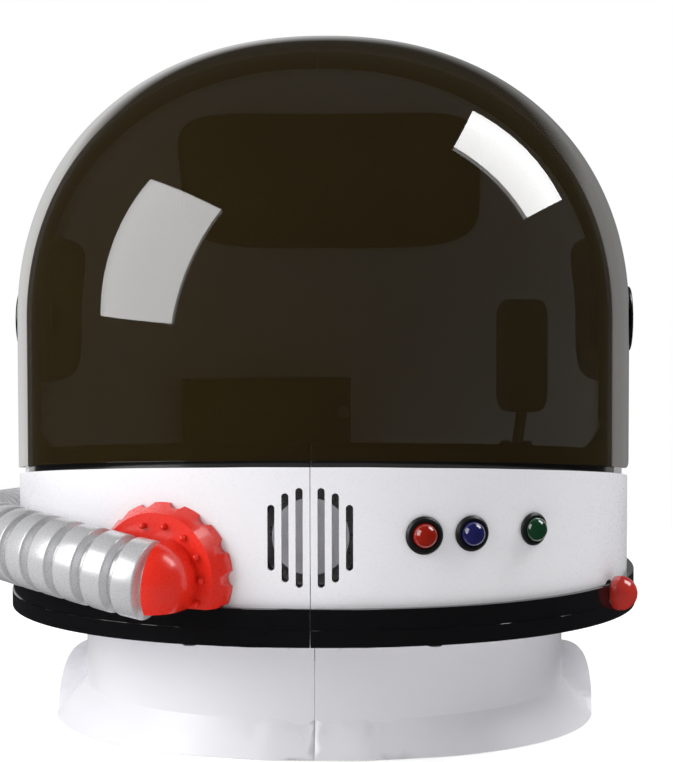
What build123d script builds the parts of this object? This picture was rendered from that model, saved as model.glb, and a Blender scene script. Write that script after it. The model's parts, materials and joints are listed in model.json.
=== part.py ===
from build123d import *
from math import atan, copysign, cos, degrees, radians, sin, sqrt
import os

os.makedirs("parts", exist_ok=True)

# A play astronaut helmet: a white bell in two halves, a turning smoke-brown visor,
# a black belt and face frame, a flared white collar, a ribbed hose and sound buttons.
# Millimetres, floor at zero height, face towards -Y, left and right as seen from the front.

# Clearances shared by all pieces
fit_gap = 0.2  # between seated pieces
seam_gap = 0.3  # between left and right halves
running_gap = 0.06  # radial, round a turning or sliding shank
slide_gap = 0.2  # radial, round a push button
overrun = 2.0  # how far a cut runs past what it cuts
reach = 200.0  # beyond every outline
tall = 400.0  # above every dome

# Outlines seen from above
fullness = 2.18  # exponent of the outlines: 2 is an oval, more is squarer
outline_steps = 8  # points along a quarter of an outline
visor_half_width = 134.9
visor_rise = 125.0
band_half_width = 134.2
band_half_depth = 131.0
rim_half_width = 137.8
rim_half_depth = 134.5
neck_half_width = 106.0
neck_half_depth = 97.0
skirt_half_width = 119.5
skirt_half_depth = 103.0

# Heights above the floor
crease_height = 15.0
rim_bottom = 51.0
rim_height = 14.5
rim_step_height = 6.5
band_front_height = 119.5
band_side_height = 103.5
pivot_height = 174.0

# Walls
shell_wall = 2.5
visor_wall = 2.0
visor_gap = 0.9
collar_wall = 2.5
rim_step = 0.6
rim_lip_thickness = 2.5
rim_lip_width = 12.5
bend_radius = 80.0  # rounds the band's top edge where its slope ends

# Places that follow from these
shell_half_width = visor_half_width - visor_wall - visor_gap
shell_rise = visor_rise - visor_wall - visor_gap
shell_inner_width = shell_half_width - shell_wall
shell_inner_rise = shell_rise - shell_wall
band_inner_width = band_half_width - shell_wall
band_inner_depth = band_half_depth - shell_wall
seat_height = rim_bottom + rim_lip_thickness + fit_gap
rim_top = rim_bottom + rim_height
pivot_line = Axis((0, 0, pivot_height), (-1, 0, 0))

pieces = {}


def keep(part, node):
    """Names a finished piece and keeps it for writing."""
    part.label = node
    pieces[node] = part


def quarter(half_width, half_depth):
    """Points of a quarter of an outline, from its side to its front."""
    turns = [radians(90 * step / outline_steps) for step in range(outline_steps + 1)]
    power = 2 / fullness
    return [(half_width * cos(turn) ** power, half_depth * sin(turn) ** power) for turn in turns]


def outline(half_width, half_depth):
    """A whole outline as a flat face."""
    with BuildSketch() as face:
        with BuildLine():
            for across in (1, -1):
                for along in (1, -1):
                    points = quarter(half_width * across, half_depth)
                    Spline(*[(x, y * along) for x, y in points], tangents=((0, along), (-across, 0)))
        make_face()
    return face.sketch


def front_half(half_width, half_depth):
    """The front half of an outline as a flat face, closed along its middle."""
    with BuildSketch() as face:
        with BuildLine():
            for across in (1, -1):
                points = quarter(half_width * across, half_depth)
                Spline(*[(x, -y) for x, y in points], tangents=((0, -1), (-across, 0)))
            Line((-half_width, 0), (half_width, 0))
        make_face()
    return face.sketch


def block(half_width, half_depth, low, high):
    """An upright solid with an outline for its section."""
    with BuildPart() as solid:
        with BuildSketch(Plane.XY.offset(low)):
            add(outline(half_width, half_depth))
        extrude(amount=high - low)
    return solid.part


def bell(half_width, rise, low):
    """A solid bell: upright up to the pivots, and above them turned about the line through them."""
    with BuildPart() as solid:
        with BuildSketch(Plane.XY.offset(low)):
            add(outline(half_width, rise))
        extrude(amount=pivot_height - low)
        with BuildSketch(Plane.XY.offset(pivot_height)):
            add(front_half(half_width, rise))
        revolve(axis=pivot_line, revolution_arc=180)
    return solid.part


def above_band(lift):
    """Everything above the band's top edge once that edge is raised by lift."""
    slope = (band_front_height - band_side_height) / band_half_depth
    with BuildPart() as region:
        with BuildSketch(Plane.YZ):
            with BuildLine():
                edge = FilletPolyline(
                    (-reach, band_side_height + slope * reach + lift),
                    (0, band_side_height + lift),
                    (reach, band_side_height + lift),
                    radius=bend_radius,
                )
                Polyline(edge @ 1, (reach, tall), (-reach, tall), edge @ 0)
            make_face()
        extrude(amount=reach, both=True)
    return region.part


def face_opening(half_width, foot, corner, depth, lift):
    """The space in front of the face, open to the front, over the raised top edge of the band."""
    with BuildPart() as space:
        with BuildSketch(Plane.XZ.offset(depth)):
            with Locations((0, foot + tall / 2)):
                RectangleRounded(2 * half_width, tall, corner)
        extrude(amount=reach)
        add(above_band(lift), mode=Mode.INTERSECT)
    return space.part


def facing(turn, height, half_width=band_half_width, half_depth=band_half_depth):
    """A plane that touches an outline at a turn from the front, looking outwards, with y upwards."""
    across = abs(sin(radians(turn))) / half_width
    along = abs(cos(radians(turn))) / half_depth
    distance = (across**fullness + along**fullness) ** (-1 / fullness)
    x = distance * sin(radians(turn))
    y = -distance * cos(radians(turn))
    slope_x = copysign(abs(x / half_width) ** (fullness - 1) / half_width, x)
    slope_y = copysign(abs(y / half_depth) ** (fullness - 1) / half_depth, y)
    return Plane(origin=(x, y, height), x_dir=(-slope_y, slope_x, 0), z_dir=(slope_x, slope_y, 0))


def spun(plane, profile):
    """A round solid about a plane's normal, from a profile of (radius, height) corners."""
    section = Plane(origin=plane.origin, x_dir=plane.x_dir, z_dir=-plane.y_dir)
    with BuildPart() as solid:
        with BuildSketch(section):
            with BuildLine():
                Polyline(*profile, close=True)
            make_face()
        revolve(axis=Axis(plane.origin, plane.z_dir))
    return solid.part


def rod(plane, low, high, radius):
    """A round rod along a plane's normal."""
    return spun(plane, [(0, low), (radius, low), (radius, high), (0, high)])


def tube(plane, low, high, radius, bore):
    """A round tube along a plane's normal."""
    return spun(plane, [(bore, low), (radius, low), (radius, high), (bore, high)])


def slab(plane, low, high, width, height, across=0, up=0):
    """A rectangular solid on a plane, centred at (across, up)."""
    with BuildPart() as solid:
        with BuildSketch(plane.offset(low)):
            with Locations((across, up)):
                Rectangle(width, height)
        extrude(amount=high - low)
    return solid.part


def coil(plane, low, high, radius, wire, turns):
    """A coil spring along a plane's normal, between two heights of its wire's middle."""
    with BuildPart() as spring:
        with BuildLine() as path:
            Helix(pitch=(high - low) / turns, height=high - low, radius=radius)
        with BuildSketch(Plane(origin=path.line @ 0, z_dir=path.line % 0)):
            Circle(wire)
        sweep(path=path.line, is_frenet=True)
    return plane.offset(low).location * spring.part


def wedge(start, end, low, high):
    """The upright wedge between two turns from the front."""
    corners = [(0, 0)]
    for turn in (start, (start + end) / 2, end):
        corners.append((2 * reach * sin(radians(turn)), -2 * reach * cos(radians(turn))))
    with BuildPart() as solid:
        with BuildSketch(Plane.XY.offset(low)):
            with BuildLine():
                Polyline(*corners, close=True)
            make_face()
        extrude(amount=high - low)
    return solid.part


def half(part, side):
    """The half of a part on one side of the seam: 1 is the right, -1 the left."""
    with BuildPart() as piece:
        add(part)
        split(bisect_by=Plane.YZ.offset(side * seam_gap / 2), keep=Keep.TOP if side > 0 else Keep.BOTTOM)
    return piece.part


sides = ((-1, "left"), (1, "right"))

# Pivots
pivot_radius = 4.0
cap_radius = 14.5
cap_thickness = 1.2
cap_bevel = 0.6
washer_radius = 9.0
washer_thickness = 1.2
pivot_shank_end = shell_inner_width - washer_thickness - 3 * fit_gap
pivot_screw_radius = 1.5
pivot_screw_length = 5.0
screw_head_radius = 3.0
screw_head_height = 1.8


def pivot_plane(side):
    """The plane across a pivot, at the middle of the helmet, looking outwards."""
    return Plane(origin=(0, 0, pivot_height), x_dir=(0, side, 0), z_dir=(side, 0, 0))


# Grille slots on the chin
grille_height = 92.5
grille_radius = 19.6
slot_width = 2.8
slot_pitch = 5.4
first_slot = 4.2
slots_each_side = 3

# Push buttons: turn from the front, ring radius, spring and travel
button_height = 93.0
button_turns = (19.0, 27.3, 39.4)
button_names = ("red", "blue", "green")
button_ring_radii = (7.4, 6.95, 6.45)
button_radius = 4.9
ring_barrel_radius = 5.9
ring_height = 2.0
ring_bevel = 0.9
ring_barrel_end = -4.9
dome_base = 1.2
button_flange_radius = 6.2
button_flange_thickness = 1.4
button_spring_radius = 3.2
button_spring_wire = 0.3
button_spring_turns = 4
button_board_depth = 12.0
button_board_thickness = 1.6

# Ball button on the rim
ball_turn = 62.0
ball_height = 61.6
ball_radius = 7.2
ball_middle = 5.0
ball_recess = 2.0
ball_travel = 1.0
ball_stem_radius = 2.0
ball_flange_radius = 3.0
ball_flange_thickness = 1.0
socket_radius = 5.0
socket_wall = 1.2
socket_length = 12.0
ball_spring_radius = 2.4

# Seats and heads of the belt's screws
rim_screw_turns = (22.0, 68.0, 112.0, 158.0)
rim_screw_radius = 1.5
rim_screw_length = 7.0
rim_screw_inset = 6.5

# Face opening, in the white shell and in its black frame
frame_half_width = 128.4
frame_foot = 108.0
frame_corner = 8.0
frame_depth = 46.0
sill_height = 9.9
face_half_width = 119.0
face_foot = 118.5
face_corner = 22.0
face_depth = 58.0


def belt(half_width, half_depth, low, lift):
    """An upright solid under the band's top edge, once that edge is raised by lift."""
    with BuildPart() as solid:
        add(block(half_width, half_depth, low, band_front_height + abs(lift) + overrun))
        add(above_band(lift), mode=Mode.SUBTRACT)
    return solid.part


def interior(gap):
    """The space inside the white shell, a gap away from its walls."""
    with BuildPart() as space:
        add(bell(shell_inner_width - gap, shell_inner_rise - gap, seat_height))
        add(belt(band_inner_width - gap, band_inner_depth - gap, seat_height, -shell_wall - gap))
    return space.part


# White shell: dome, upright wall and chin band
with BuildPart() as shell_form:
    add(bell(shell_half_width, shell_rise, seat_height))
    add(belt(band_half_width, band_half_depth, seat_height, 0))
    add(bell(shell_inner_width, shell_inner_rise, seat_height - overrun), mode=Mode.SUBTRACT)
    add(belt(band_inner_width, band_inner_depth, seat_height - overrun, -shell_wall), mode=Mode.SUBTRACT)
    add(face_opening(frame_half_width, frame_foot, frame_corner, frame_depth, 0), mode=Mode.SUBTRACT)
    with BuildSketch(Plane.XZ.offset(band_half_depth / 2)):
        for slot in range(slots_each_side):
            slot_across = first_slot + slot * slot_pitch
            slot_length = 2 * sqrt(grille_radius**2 - slot_across**2)
            with Locations((slot_across, grille_height), (-slot_across, grille_height)):
                SlotOverall(slot_length, slot_width, rotation=90)
    extrude(amount=reach, mode=Mode.SUBTRACT)
    for turn in button_turns:
        hole = facing(turn, button_height)
        add(rod(hole, -reach / 4, overrun, ring_barrel_radius + slide_gap), mode=Mode.SUBTRACT)
    ball_hole = facing(ball_turn, ball_height)
    add(rod(ball_hole, -reach / 4, overrun, socket_radius + fit_gap), mode=Mode.SUBTRACT)
    for side, word in sides:
        pin_hole = pivot_plane(side)
        add(rod(pin_hole, reach / 2, reach, pivot_radius + fit_gap), mode=Mode.SUBTRACT)

for side, word in sides:
    with BuildPart() as shell:
        add(half(shell_form.part, side))
    keep(shell.part, "shell_" + word)

# Black frame of the face opening, two halves in the shell's own wall
with BuildPart() as frame_form:
    add(bell(shell_half_width, shell_rise, band_side_height - overrun))
    add(bell(shell_inner_width, shell_inner_rise, band_side_height - 2 * overrun), mode=Mode.SUBTRACT)
    add(
        face_opening(
            frame_half_width - fit_gap, frame_foot + fit_gap, frame_corner, frame_depth + fit_gap, fit_gap
        ),
        mode=Mode.INTERSECT,
    )
    add(face_opening(face_half_width, face_foot, face_corner, face_depth, sill_height), mode=Mode.SUBTRACT)

for side, word in sides:
    with BuildPart() as trim:
        add(half(frame_form.part, side))
    keep(trim.part, "trim_" + word)

# Visor: one clear bowl with an ear round each pivot
visor_lift = 2.6
visor_back = 16.0
ear_corner = 50.0
with BuildPart() as visor:
    add(bell(visor_half_width, visor_rise, band_side_height - overrun))
    visor_inner_width = visor_half_width - visor_wall
    visor_inner_rise = visor_rise - visor_wall
    add(bell(visor_inner_width, visor_inner_rise, band_side_height - 2 * overrun), mode=Mode.SUBTRACT)
    visor_slope = (band_front_height - band_side_height) / band_half_depth
    with BuildSketch(Plane.YZ):
        with BuildLine():
            visor_edge = FilletPolyline(
                (-reach, band_side_height + visor_slope * reach + visor_lift),
                (visor_back, band_side_height - visor_slope * visor_back + visor_lift),
                (visor_back, tall),
                radius=ear_corner,
            )
            Polyline(visor_edge @ 1, (-reach, tall), visor_edge @ 0)
        make_face()
    extrude(amount=reach, both=True, mode=Mode.INTERSECT)
    for side, word in sides:
        add(rod(pivot_plane(side), reach / 2, reach, pivot_radius + running_gap), mode=Mode.SUBTRACT)
keep(visor.part, "visor")

# Pivot caps, each with its shank through the visor and the shell, a washer and a screw
for side, word in sides:
    pin = pivot_plane(side)
    cap_foot = visor_half_width + fit_gap
    cap_top = cap_foot + cap_thickness
    with BuildPart() as pivot_cap:
        add(
            spun(
                pin,
                [
                    (0, pivot_shank_end),
                    (pivot_radius, pivot_shank_end),
                    (pivot_radius, cap_foot),
                    (cap_radius, cap_foot),
                    (cap_radius, cap_top - cap_bevel),
                    (cap_radius - cap_bevel, cap_top),
                    (0, cap_top),
                ],
            )
        )
        screw_hole_end = pivot_shank_end + pivot_screw_length
        thread_radius = pivot_screw_radius + fit_gap / 2
        add(rod(pin, pivot_shank_end - overrun, screw_hole_end, thread_radius), mode=Mode.SUBTRACT)
    keep(pivot_cap.part, "pivot_cap_" + word)

washer_top = shell_inner_width - 2 * fit_gap
with BuildPart() as pivot_washers:
    for side, word in sides:
        washer_low = washer_top - washer_thickness
        add(tube(pivot_plane(side), washer_low, washer_top, washer_radius, pivot_radius + fit_gap))
keep(pivot_washers.part, "pivot_washers")

with BuildPart() as pivot_screws:
    for side, word in sides:
        pin = pivot_plane(side)
        head_top = pivot_shank_end - fit_gap
        add(
            spun(
                pin,
                [
                    (0, head_top - screw_head_height),
                    (screw_head_radius, head_top - screw_head_height),
                    (screw_head_radius, head_top),
                    (pivot_screw_radius, head_top),
                    (pivot_screw_radius, screw_hole_end - fit_gap),
                    (0, screw_hole_end - fit_gap),
                ],
            )
        )
keep(pivot_screws.part, "pivot_screws")

# Black belt round the foot of the bell, two halves with a lip underneath
rim_inner_width = band_half_width + fit_gap
rim_inner_depth = band_half_depth + fit_gap
lip_half_width = band_half_width - rim_lip_width
lip_half_depth = band_half_depth - rim_lip_width


def rim_screw_planes(height):
    """Planes at the belt's screws, looking down."""
    planes = []
    for side, word in sides:
        for turn in rim_screw_turns:
            across = band_half_width - rim_screw_inset
            along = band_half_depth - rim_screw_inset
            seat = facing(side * turn, height, across, along)
            planes.append(Plane(origin=seat.origin, x_dir=(1, 0, 0), z_dir=(0, 0, -1)))
    return planes


with BuildPart() as rim_form:
    add(block(rim_half_width, rim_half_depth, rim_bottom, rim_bottom + rim_step_height))
    add(block(rim_half_width - rim_step, rim_half_depth - rim_step, rim_bottom + rim_step_height, rim_top))
    add(
        block(rim_inner_width, rim_inner_depth, rim_bottom + rim_lip_thickness, rim_top + overrun),
        mode=Mode.SUBTRACT,
    )
    add(
        block(lip_half_width, lip_half_depth, rim_bottom - overrun, rim_bottom + rim_lip_thickness + overrun),
        mode=Mode.SUBTRACT,
    )
    recess_floor = ball_middle - ball_recess - ball_travel - fit_gap
    add(rod(ball_hole, recess_floor, reach / 4, ball_radius + fit_gap), mode=Mode.SUBTRACT)
    add(rod(ball_hole, -overrun, reach / 4, ball_stem_radius + slide_gap), mode=Mode.SUBTRACT)
    for seat in rim_screw_planes(rim_bottom):
        add(rod(seat, -rim_lip_thickness - overrun, overrun, rim_screw_radius + fit_gap), mode=Mode.SUBTRACT)

for side, word in sides:
    with BuildPart() as rim:
        add(half(rim_form.part, side))
    keep(rim.part, "rim_" + word)

# White collar: flange inside the bell, neck, round lip and flared skirt, two halves
flange_thickness = 2.5
lip_bore = 94.0
lip_height = 6.0
arch_start = -15.0
arch_end = 85.0
arch_height = 20.0
tab_width = 24.0
tab_drop = 7.6
tab_corner = 3.0
tab_proud = 2.0
strip_inset = 0.1  # keeps the arch's strip just inside the flare's foot
flange_top = seat_height + flange_thickness


def under_arch(rise):
    """The space under the shoulder arches, once they are raised by rise."""
    with BuildPart() as space:
        with BuildSketch(Plane.YZ):
            with BuildLine():
                crown = (arch_start + arch_end) / 2
                arch = ThreePointArc(
                    (arch_start - rise, -rise), (crown, arch_height + rise), (arch_end + rise, -rise)
                )
                Line(arch @ 1, arch @ 0)
            make_face()
        extrude(amount=reach, both=True)
    return space.part


def flare(top_width, top_depth, low_width, low_depth, low, high):
    """A solid between a larger outline below and a smaller one above."""
    with BuildPart() as solid:
        for width, depth, height in ((low_width, low_depth, low), (top_width, top_depth, high)):
            with BuildSketch(Plane.XY.offset(height)):
                add(outline(width, depth))
        loft(ruled=True)
    return solid.part


neck_inner_width = neck_half_width - collar_wall
neck_inner_depth = neck_half_depth - collar_wall
flare_width_slope = (skirt_half_width - neck_half_width) / crease_height
flare_depth_slope = (skirt_half_depth - neck_half_depth) / crease_height
flange_width = band_inner_width - fit_gap
flange_depth = band_inner_depth - fit_gap
strip_start = collar_wall / 2
with BuildPart() as collar_form:
    add(block(neck_half_width, neck_half_depth, crease_height, seat_height))
    add(flare(neck_half_width, neck_half_depth, skirt_half_width, skirt_half_depth, 0, crease_height))
    with BuildSketch(Plane.XZ.offset(neck_half_depth / 2)):
        with Locations((0, rim_bottom - tab_drop / 2 + overrun / 2)):
            RectangleRounded(tab_width, tab_drop + overrun, tab_corner)
    extrude(amount=neck_half_depth / 2 + tab_proud)
    add(
        block(neck_inner_width, neck_inner_depth, crease_height - overrun, flange_top - lip_height),
        mode=Mode.SUBTRACT,
    )
    add(
        flare(
            neck_inner_width,
            neck_inner_depth,
            skirt_half_width - collar_wall + flare_width_slope * overrun,
            skirt_half_depth - collar_wall + flare_depth_slope * overrun,
            -overrun,
            crease_height - overrun / 2,
        ),
        mode=Mode.SUBTRACT,
    )
    with BuildPart(mode=Mode.PRIVATE) as shoulders:
        add(block(skirt_half_width - strip_inset, skirt_half_depth - strip_inset, 0, rim_bottom))
        strip_width = neck_half_width - strip_start
        strip_depth = neck_half_depth - strip_start
        add(block(strip_width, strip_depth, -overrun, rim_bottom + overrun), mode=Mode.SUBTRACT)
        add(under_arch(collar_wall), mode=Mode.INTERSECT)
    add(shoulders.part)
    add(under_arch(0), mode=Mode.SUBTRACT)
    add(block(flange_width, flange_depth, seat_height, flange_top))
    with BuildSketch(Plane.XY.offset(-overrun)):
        Circle(lip_bore)
    extrude(amount=pivot_height, mode=Mode.SUBTRACT)
    for seat in rim_screw_planes(rim_bottom):
        add(rod(seat, -reach / 4, overrun, rim_screw_radius + fit_gap / 2), mode=Mode.SUBTRACT)
    notch_radius = socket_radius + 2 * fit_gap
    add(rod(ball_hole, -socket_length - overrun, reach / 4, notch_radius), mode=Mode.SUBTRACT)

for side, word in sides:
    with BuildPart() as collar:
        add(half(collar_form.part, side))
    keep(collar.part, "collar_" + word)

# Screws that hold belt, collar and bell together
with BuildPart() as rim_screws:
    for seat in rim_screw_planes(rim_bottom):
        add(
            spun(
                seat,
                [
                    (0, fit_gap + screw_head_height),
                    (screw_head_radius, fit_gap + screw_head_height),
                    (screw_head_radius, fit_gap),
                    (rim_screw_radius, fit_gap),
                    (rim_screw_radius, -rim_screw_length),
                    (0, -rim_screw_length),
                ],
            )
        )
keep(rim_screws.part, "rim_screws")

# Ribbed hose, from its front fitting round the side to the back
hose_radius = 15.3
hose_groove_radius = 12.0
hose_bore_radius = 10.8
hose_gap = 1.0
rib_pitch = 12.3
groove_share = 0.17
flank_share = 0.09
hose_start_turn = 22.2
hose_end_turn = 150.0
hose_low = 76.7
hose_climb = 8.5
hose_rise_power = 1.3
hose_fall_power = 3.5
hose_peak = hose_rise_power / (hose_rise_power + hose_fall_power)
hose_inset = 0.5
hose_half_width = band_half_width + hose_gap + hose_radius
hose_half_depth = band_half_depth + hose_gap + hose_radius
hose_steps = 400


def hose_point(share):
    """A point of the hose's middle line, at a share of its turn, on the left side."""
    turn = hose_start_turn + share * (hose_end_turn - hose_start_turn)
    rise = (share / hose_peak) ** hose_rise_power
    fall = ((1 - share) / (1 - hose_peak)) ** hose_fall_power
    seat = facing(-turn, hose_low + hose_climb * rise * fall, hose_half_width, hose_half_depth)
    return seat.origin


hose_line = [hose_point(step / hose_steps) for step in range(hose_steps + 1)]
hose_lengths = [0]
for before, after in zip(hose_line, hose_line[1:]):
    hose_lengths.append(hose_lengths[-1] + (after - before).length)


def hose_plane(length):
    """The plane across the hose at a length along it."""
    step = max(i for i in range(hose_steps) if hose_lengths[i] <= length or i == 0)
    rest = (length - hose_lengths[step]) / (hose_lengths[step + 1] - hose_lengths[step])
    along = hose_line[step + 1] - hose_line[step]
    middle = hose_line[step] + along * rest
    return Plane(origin=middle, x_dir=Vector(0, 0, 1).cross(along), z_dir=along)


def hose_core(low, high, radius, pieces):
    """A solid along the hose between two lengths, in straight pieces."""
    with BuildPart() as solid:
        for piece in range(pieces + 1):
            with BuildSketch(hose_plane(low + (high - low) * piece / pieces)):
                Circle(radius)
        loft(ruled=True)
    return solid.part


hose_run = hose_lengths[-1] - 2 * hose_inset
rib_count = round((hose_run / rib_pitch) - groove_share)
true_pitch = hose_run / (rib_count + groove_share)
with BuildPart() as hose:
    for rib in range(rib_count + 1):
        start = hose_inset + rib * true_pitch
        stations = [(0, hose_groove_radius), (groove_share, hose_groove_radius)]
        if rib < rib_count:
            stations.append((groove_share + flank_share, hose_radius))
            stations.append((1 - flank_share, hose_radius))
        for share, radius in stations:
            with BuildSketch(hose_plane(start + share * true_pitch)):
                Circle(radius)
    loft(ruled=True)
    bore = hose_core(hose_inset, hose_inset + hose_run, hose_bore_radius, 2 * rib_count + 1)
    add(bore, mode=Mode.SUBTRACT)
keep(hose.part, "hose")
print("hose", rib_count, "ribs, pitch", round(true_pitch, 2), "length", round(hose_run, 1))

# Red scalloped fittings at the hose's two ends
fitting_base_radius = 28.6
fitting_face_radius = 25.0
fitting_thickness = 7.5
fitting_back = 4.5
fitting_notches = 14
notch_reach = 30.2
notch_cut_radius = 3.4
bump_ring_radius = 20.5
bump_radius = 1.3
bump_height = 0.9
elbow_radius = 16.0
spigot_radius = 10.0
spigot_length = 6.0
hose_stand_off = hose_gap + hose_radius
hub_shift = 2.0  # turn from the hose's end to the elbow
disc_shift = 3.1  # turn from the hose's end to the disc
clear_run = 40.0
clear_pieces = 4


def fitting(end_turn, way):
    """A fitting under one end of the hose; way is 1 at its start and -1 at its end."""
    seat = facing(-end_turn - way * disc_shift, hose_low)
    hub = facing(-end_turn - way * hub_shift, hose_low)
    near = hose_inset if way > 0 else hose_lengths[-1] - hose_inset
    start = hose_plane(near)
    mouth = Plane(origin=start.origin, x_dir=(0, 0, 1), z_dir=start.z_dir * way)
    draft = degrees(atan((fitting_base_radius - fitting_face_radius) / fitting_thickness))
    with BuildPart() as solid:
        add(rod(seat, -fitting_back, 0, fitting_base_radius))
        with BuildSketch(seat):
            Circle(fitting_base_radius)
        extrude(amount=fitting_thickness, taper=draft)
        with Locations(seat.offset(fitting_thickness).location):
            with PolarLocations(bump_ring_radius, fitting_notches):
                Cylinder(bump_radius, 2 * bump_height)
        with Locations(seat.offset(fitting_thickness + bump_height).location):
            with PolarLocations(bump_ring_radius, fitting_notches):
                Sphere(bump_radius)
        with BuildSketch(seat.offset(-fitting_back)):
            with PolarLocations(notch_reach, fitting_notches):
                Circle(notch_cut_radius)
        extrude(amount=fitting_back + fitting_thickness + overrun, mode=Mode.SUBTRACT)
        low = min(near, near + way * clear_run)
        room = hose_core(low, low + clear_run, hose_radius + hose_gap / 2, clear_pieces)
        add(room, mode=Mode.SUBTRACT)
        with BuildPart(mode=Mode.PRIVATE) as knee:
            add(rod(hub, -fitting_back, hose_stand_off, elbow_radius))
            with Locations(hub.offset(hose_stand_off).location):
                Sphere(elbow_radius)
            add(slab(mouth, -fit_gap, reach, reach, reach), mode=Mode.SUBTRACT)
        add(knee.part)
        add(rod(mouth, -overrun, spigot_length, spigot_radius))
        add(block(rim_inner_width, rim_inner_depth, 0, tall), mode=Mode.SUBTRACT)
        add(block(reach, reach, 0, rim_top + fit_gap), mode=Mode.SUBTRACT)
    return solid.part


keep(fitting(hose_start_turn, 1), "hose_connector_front")
keep(fitting(hose_end_turn, -1), "hose_connector_rear")

# Push buttons with their rings and springs
for turn, name, ring_radius in zip(button_turns, button_names, button_ring_radii):
    seat = facing(turn, button_height)
    bore = button_radius + slide_gap
    with BuildPart() as button_ring:
        add(
            spun(
                seat,
                [
                    (bore, ring_barrel_end),
                    (ring_barrel_radius, ring_barrel_end),
                    (ring_barrel_radius, fit_gap),
                    (ring_radius, fit_gap),
                    (ring_radius, ring_height - ring_bevel),
                    (ring_radius - ring_bevel, ring_height),
                    (bore, ring_height),
                ],
            )
        )
    keep(button_ring.part, "button_ring_" + name)
    flange_face = ring_barrel_end - fit_gap
    flange_back = flange_face - button_flange_thickness
    with BuildPart() as button:
        add(
            spun(
                seat,
                [
                    (0, flange_back),
                    (button_flange_radius, flange_back),
                    (button_flange_radius, flange_face),
                    (button_radius, flange_face),
                    (button_radius, dome_base),
                    (0, dome_base),
                ],
            )
        )
        with Locations(seat.offset(dome_base).location):
            Sphere(button_radius)
    keep(button.part, "button_" + name)
    spring_low = -button_board_depth + 2 * fit_gap + button_spring_wire
    spring_high = flange_back - fit_gap - button_spring_wire
    wire = button_spring_wire
    with BuildPart() as button_spring:
        add(coil(seat, spring_low, spring_high, button_spring_radius, wire, button_spring_turns))
    keep(button_spring.part, "button_spring_" + name)

# Ball button on the belt, its socket in the bell's wall and its spring
flange_face = -shell_wall
flange_back = flange_face - ball_flange_thickness
with BuildPart() as ball_button:
    with Locations(ball_hole.offset(ball_middle).location):
        Sphere(ball_radius)
    add(rod(ball_hole, -reach / 4, ball_middle - ball_recess, ball_radius + overrun), mode=Mode.SUBTRACT)
    add(rod(ball_hole, flange_face, ball_middle, ball_stem_radius))
    add(rod(ball_hole, flange_back, flange_face, ball_flange_radius))
keep(ball_button.part, "ball_button")

socket_face = -fit_gap
with BuildPart() as ball_socket:
    add(
        spun(
            ball_hole,
            [
                (0, socket_face - socket_length),
                (socket_radius, socket_face - socket_length),
                (socket_radius, socket_face),
                (ball_stem_radius + slide_gap, socket_face),
                (ball_stem_radius + slide_gap, flange_face + fit_gap),
                (socket_radius - socket_wall, flange_face + fit_gap),
                (socket_radius - socket_wall, socket_face - socket_length + socket_wall),
                (0, socket_face - socket_length + socket_wall),
            ],
        )
    )
keep(ball_socket.part, "ball_socket")

spring_low = socket_face - socket_length + socket_wall + fit_gap + button_spring_wire
spring_high = flange_back - fit_gap - button_spring_wire
with BuildPart() as ball_spring:
    add(coil(ball_hole, spring_low, spring_high, ball_spring_radius, wire, button_spring_turns))
keep(ball_spring.part, "ball_spring")

# Inner cover behind the chin band, with posts for the boards
cover_start = -33.0
cover_end = 51.0
cover_wall = 2.0
cover_low = 68.0
cover_high = 114.0
cover_depth = 22.0
cover_inner_width = band_half_width - cover_depth
cover_inner_depth = band_half_depth - cover_depth
post_radius = 2.0
board_post_turns = (12.5, 23.0, 33.7, 47.0)
sound_board_turn = -20.0
sound_board_width = 30.0
sound_board_height = 24.0
sound_board_thickness = 1.6
sound_board_depth = 8.0
post_across = 11.0
post_up = 8.0
cover_wall_turn = degrees(cover_wall / cover_inner_width)
with BuildPart() as chin_cover:
    add(block(band_inner_width - fit_gap, band_inner_depth - fit_gap, cover_low, cover_high))
    add(
        block(cover_inner_width, cover_inner_depth, cover_low - overrun, cover_high + overrun),
        mode=Mode.SUBTRACT,
    )
    add(wedge(cover_start, cover_end, cover_low, cover_high), mode=Mode.INTERSECT)
    add(interior(fit_gap), mode=Mode.INTERSECT)
    with BuildPart(mode=Mode.PRIVATE) as cover_hollow:
        add(block(band_half_width, band_half_depth, cover_low + cover_wall, cover_high - cover_wall))
        add(
            block(
                cover_inner_width + cover_wall, cover_inner_depth + cover_wall, cover_low, cover_high
            ),
            mode=Mode.SUBTRACT,
        )
        add(
            wedge(cover_start + cover_wall_turn, cover_end - cover_wall_turn, cover_low, cover_high),
            mode=Mode.INTERSECT,
        )
    add(cover_hollow.part, mode=Mode.SUBTRACT)
    post_foot = -cover_depth + cover_wall / 2
    for turn in board_post_turns:
        strip_back = -button_board_depth - button_board_thickness - 2 * fit_gap
        add(rod(facing(turn, button_height), post_foot, strip_back, post_radius))
    board_seat = facing(sound_board_turn, button_height)
    board_back = -sound_board_depth - sound_board_thickness - fit_gap
    for across in (-post_across, post_across):
        for up in (-post_up, post_up):
            post = Plane(
                origin=board_seat.from_local_coords(Vector(across, up, 0)),
                x_dir=board_seat.x_dir,
                z_dir=board_seat.z_dir,
            )
            add(rod(post, post_foot, board_back, post_radius))
keep(chin_cover.part, "chin_cover")

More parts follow.
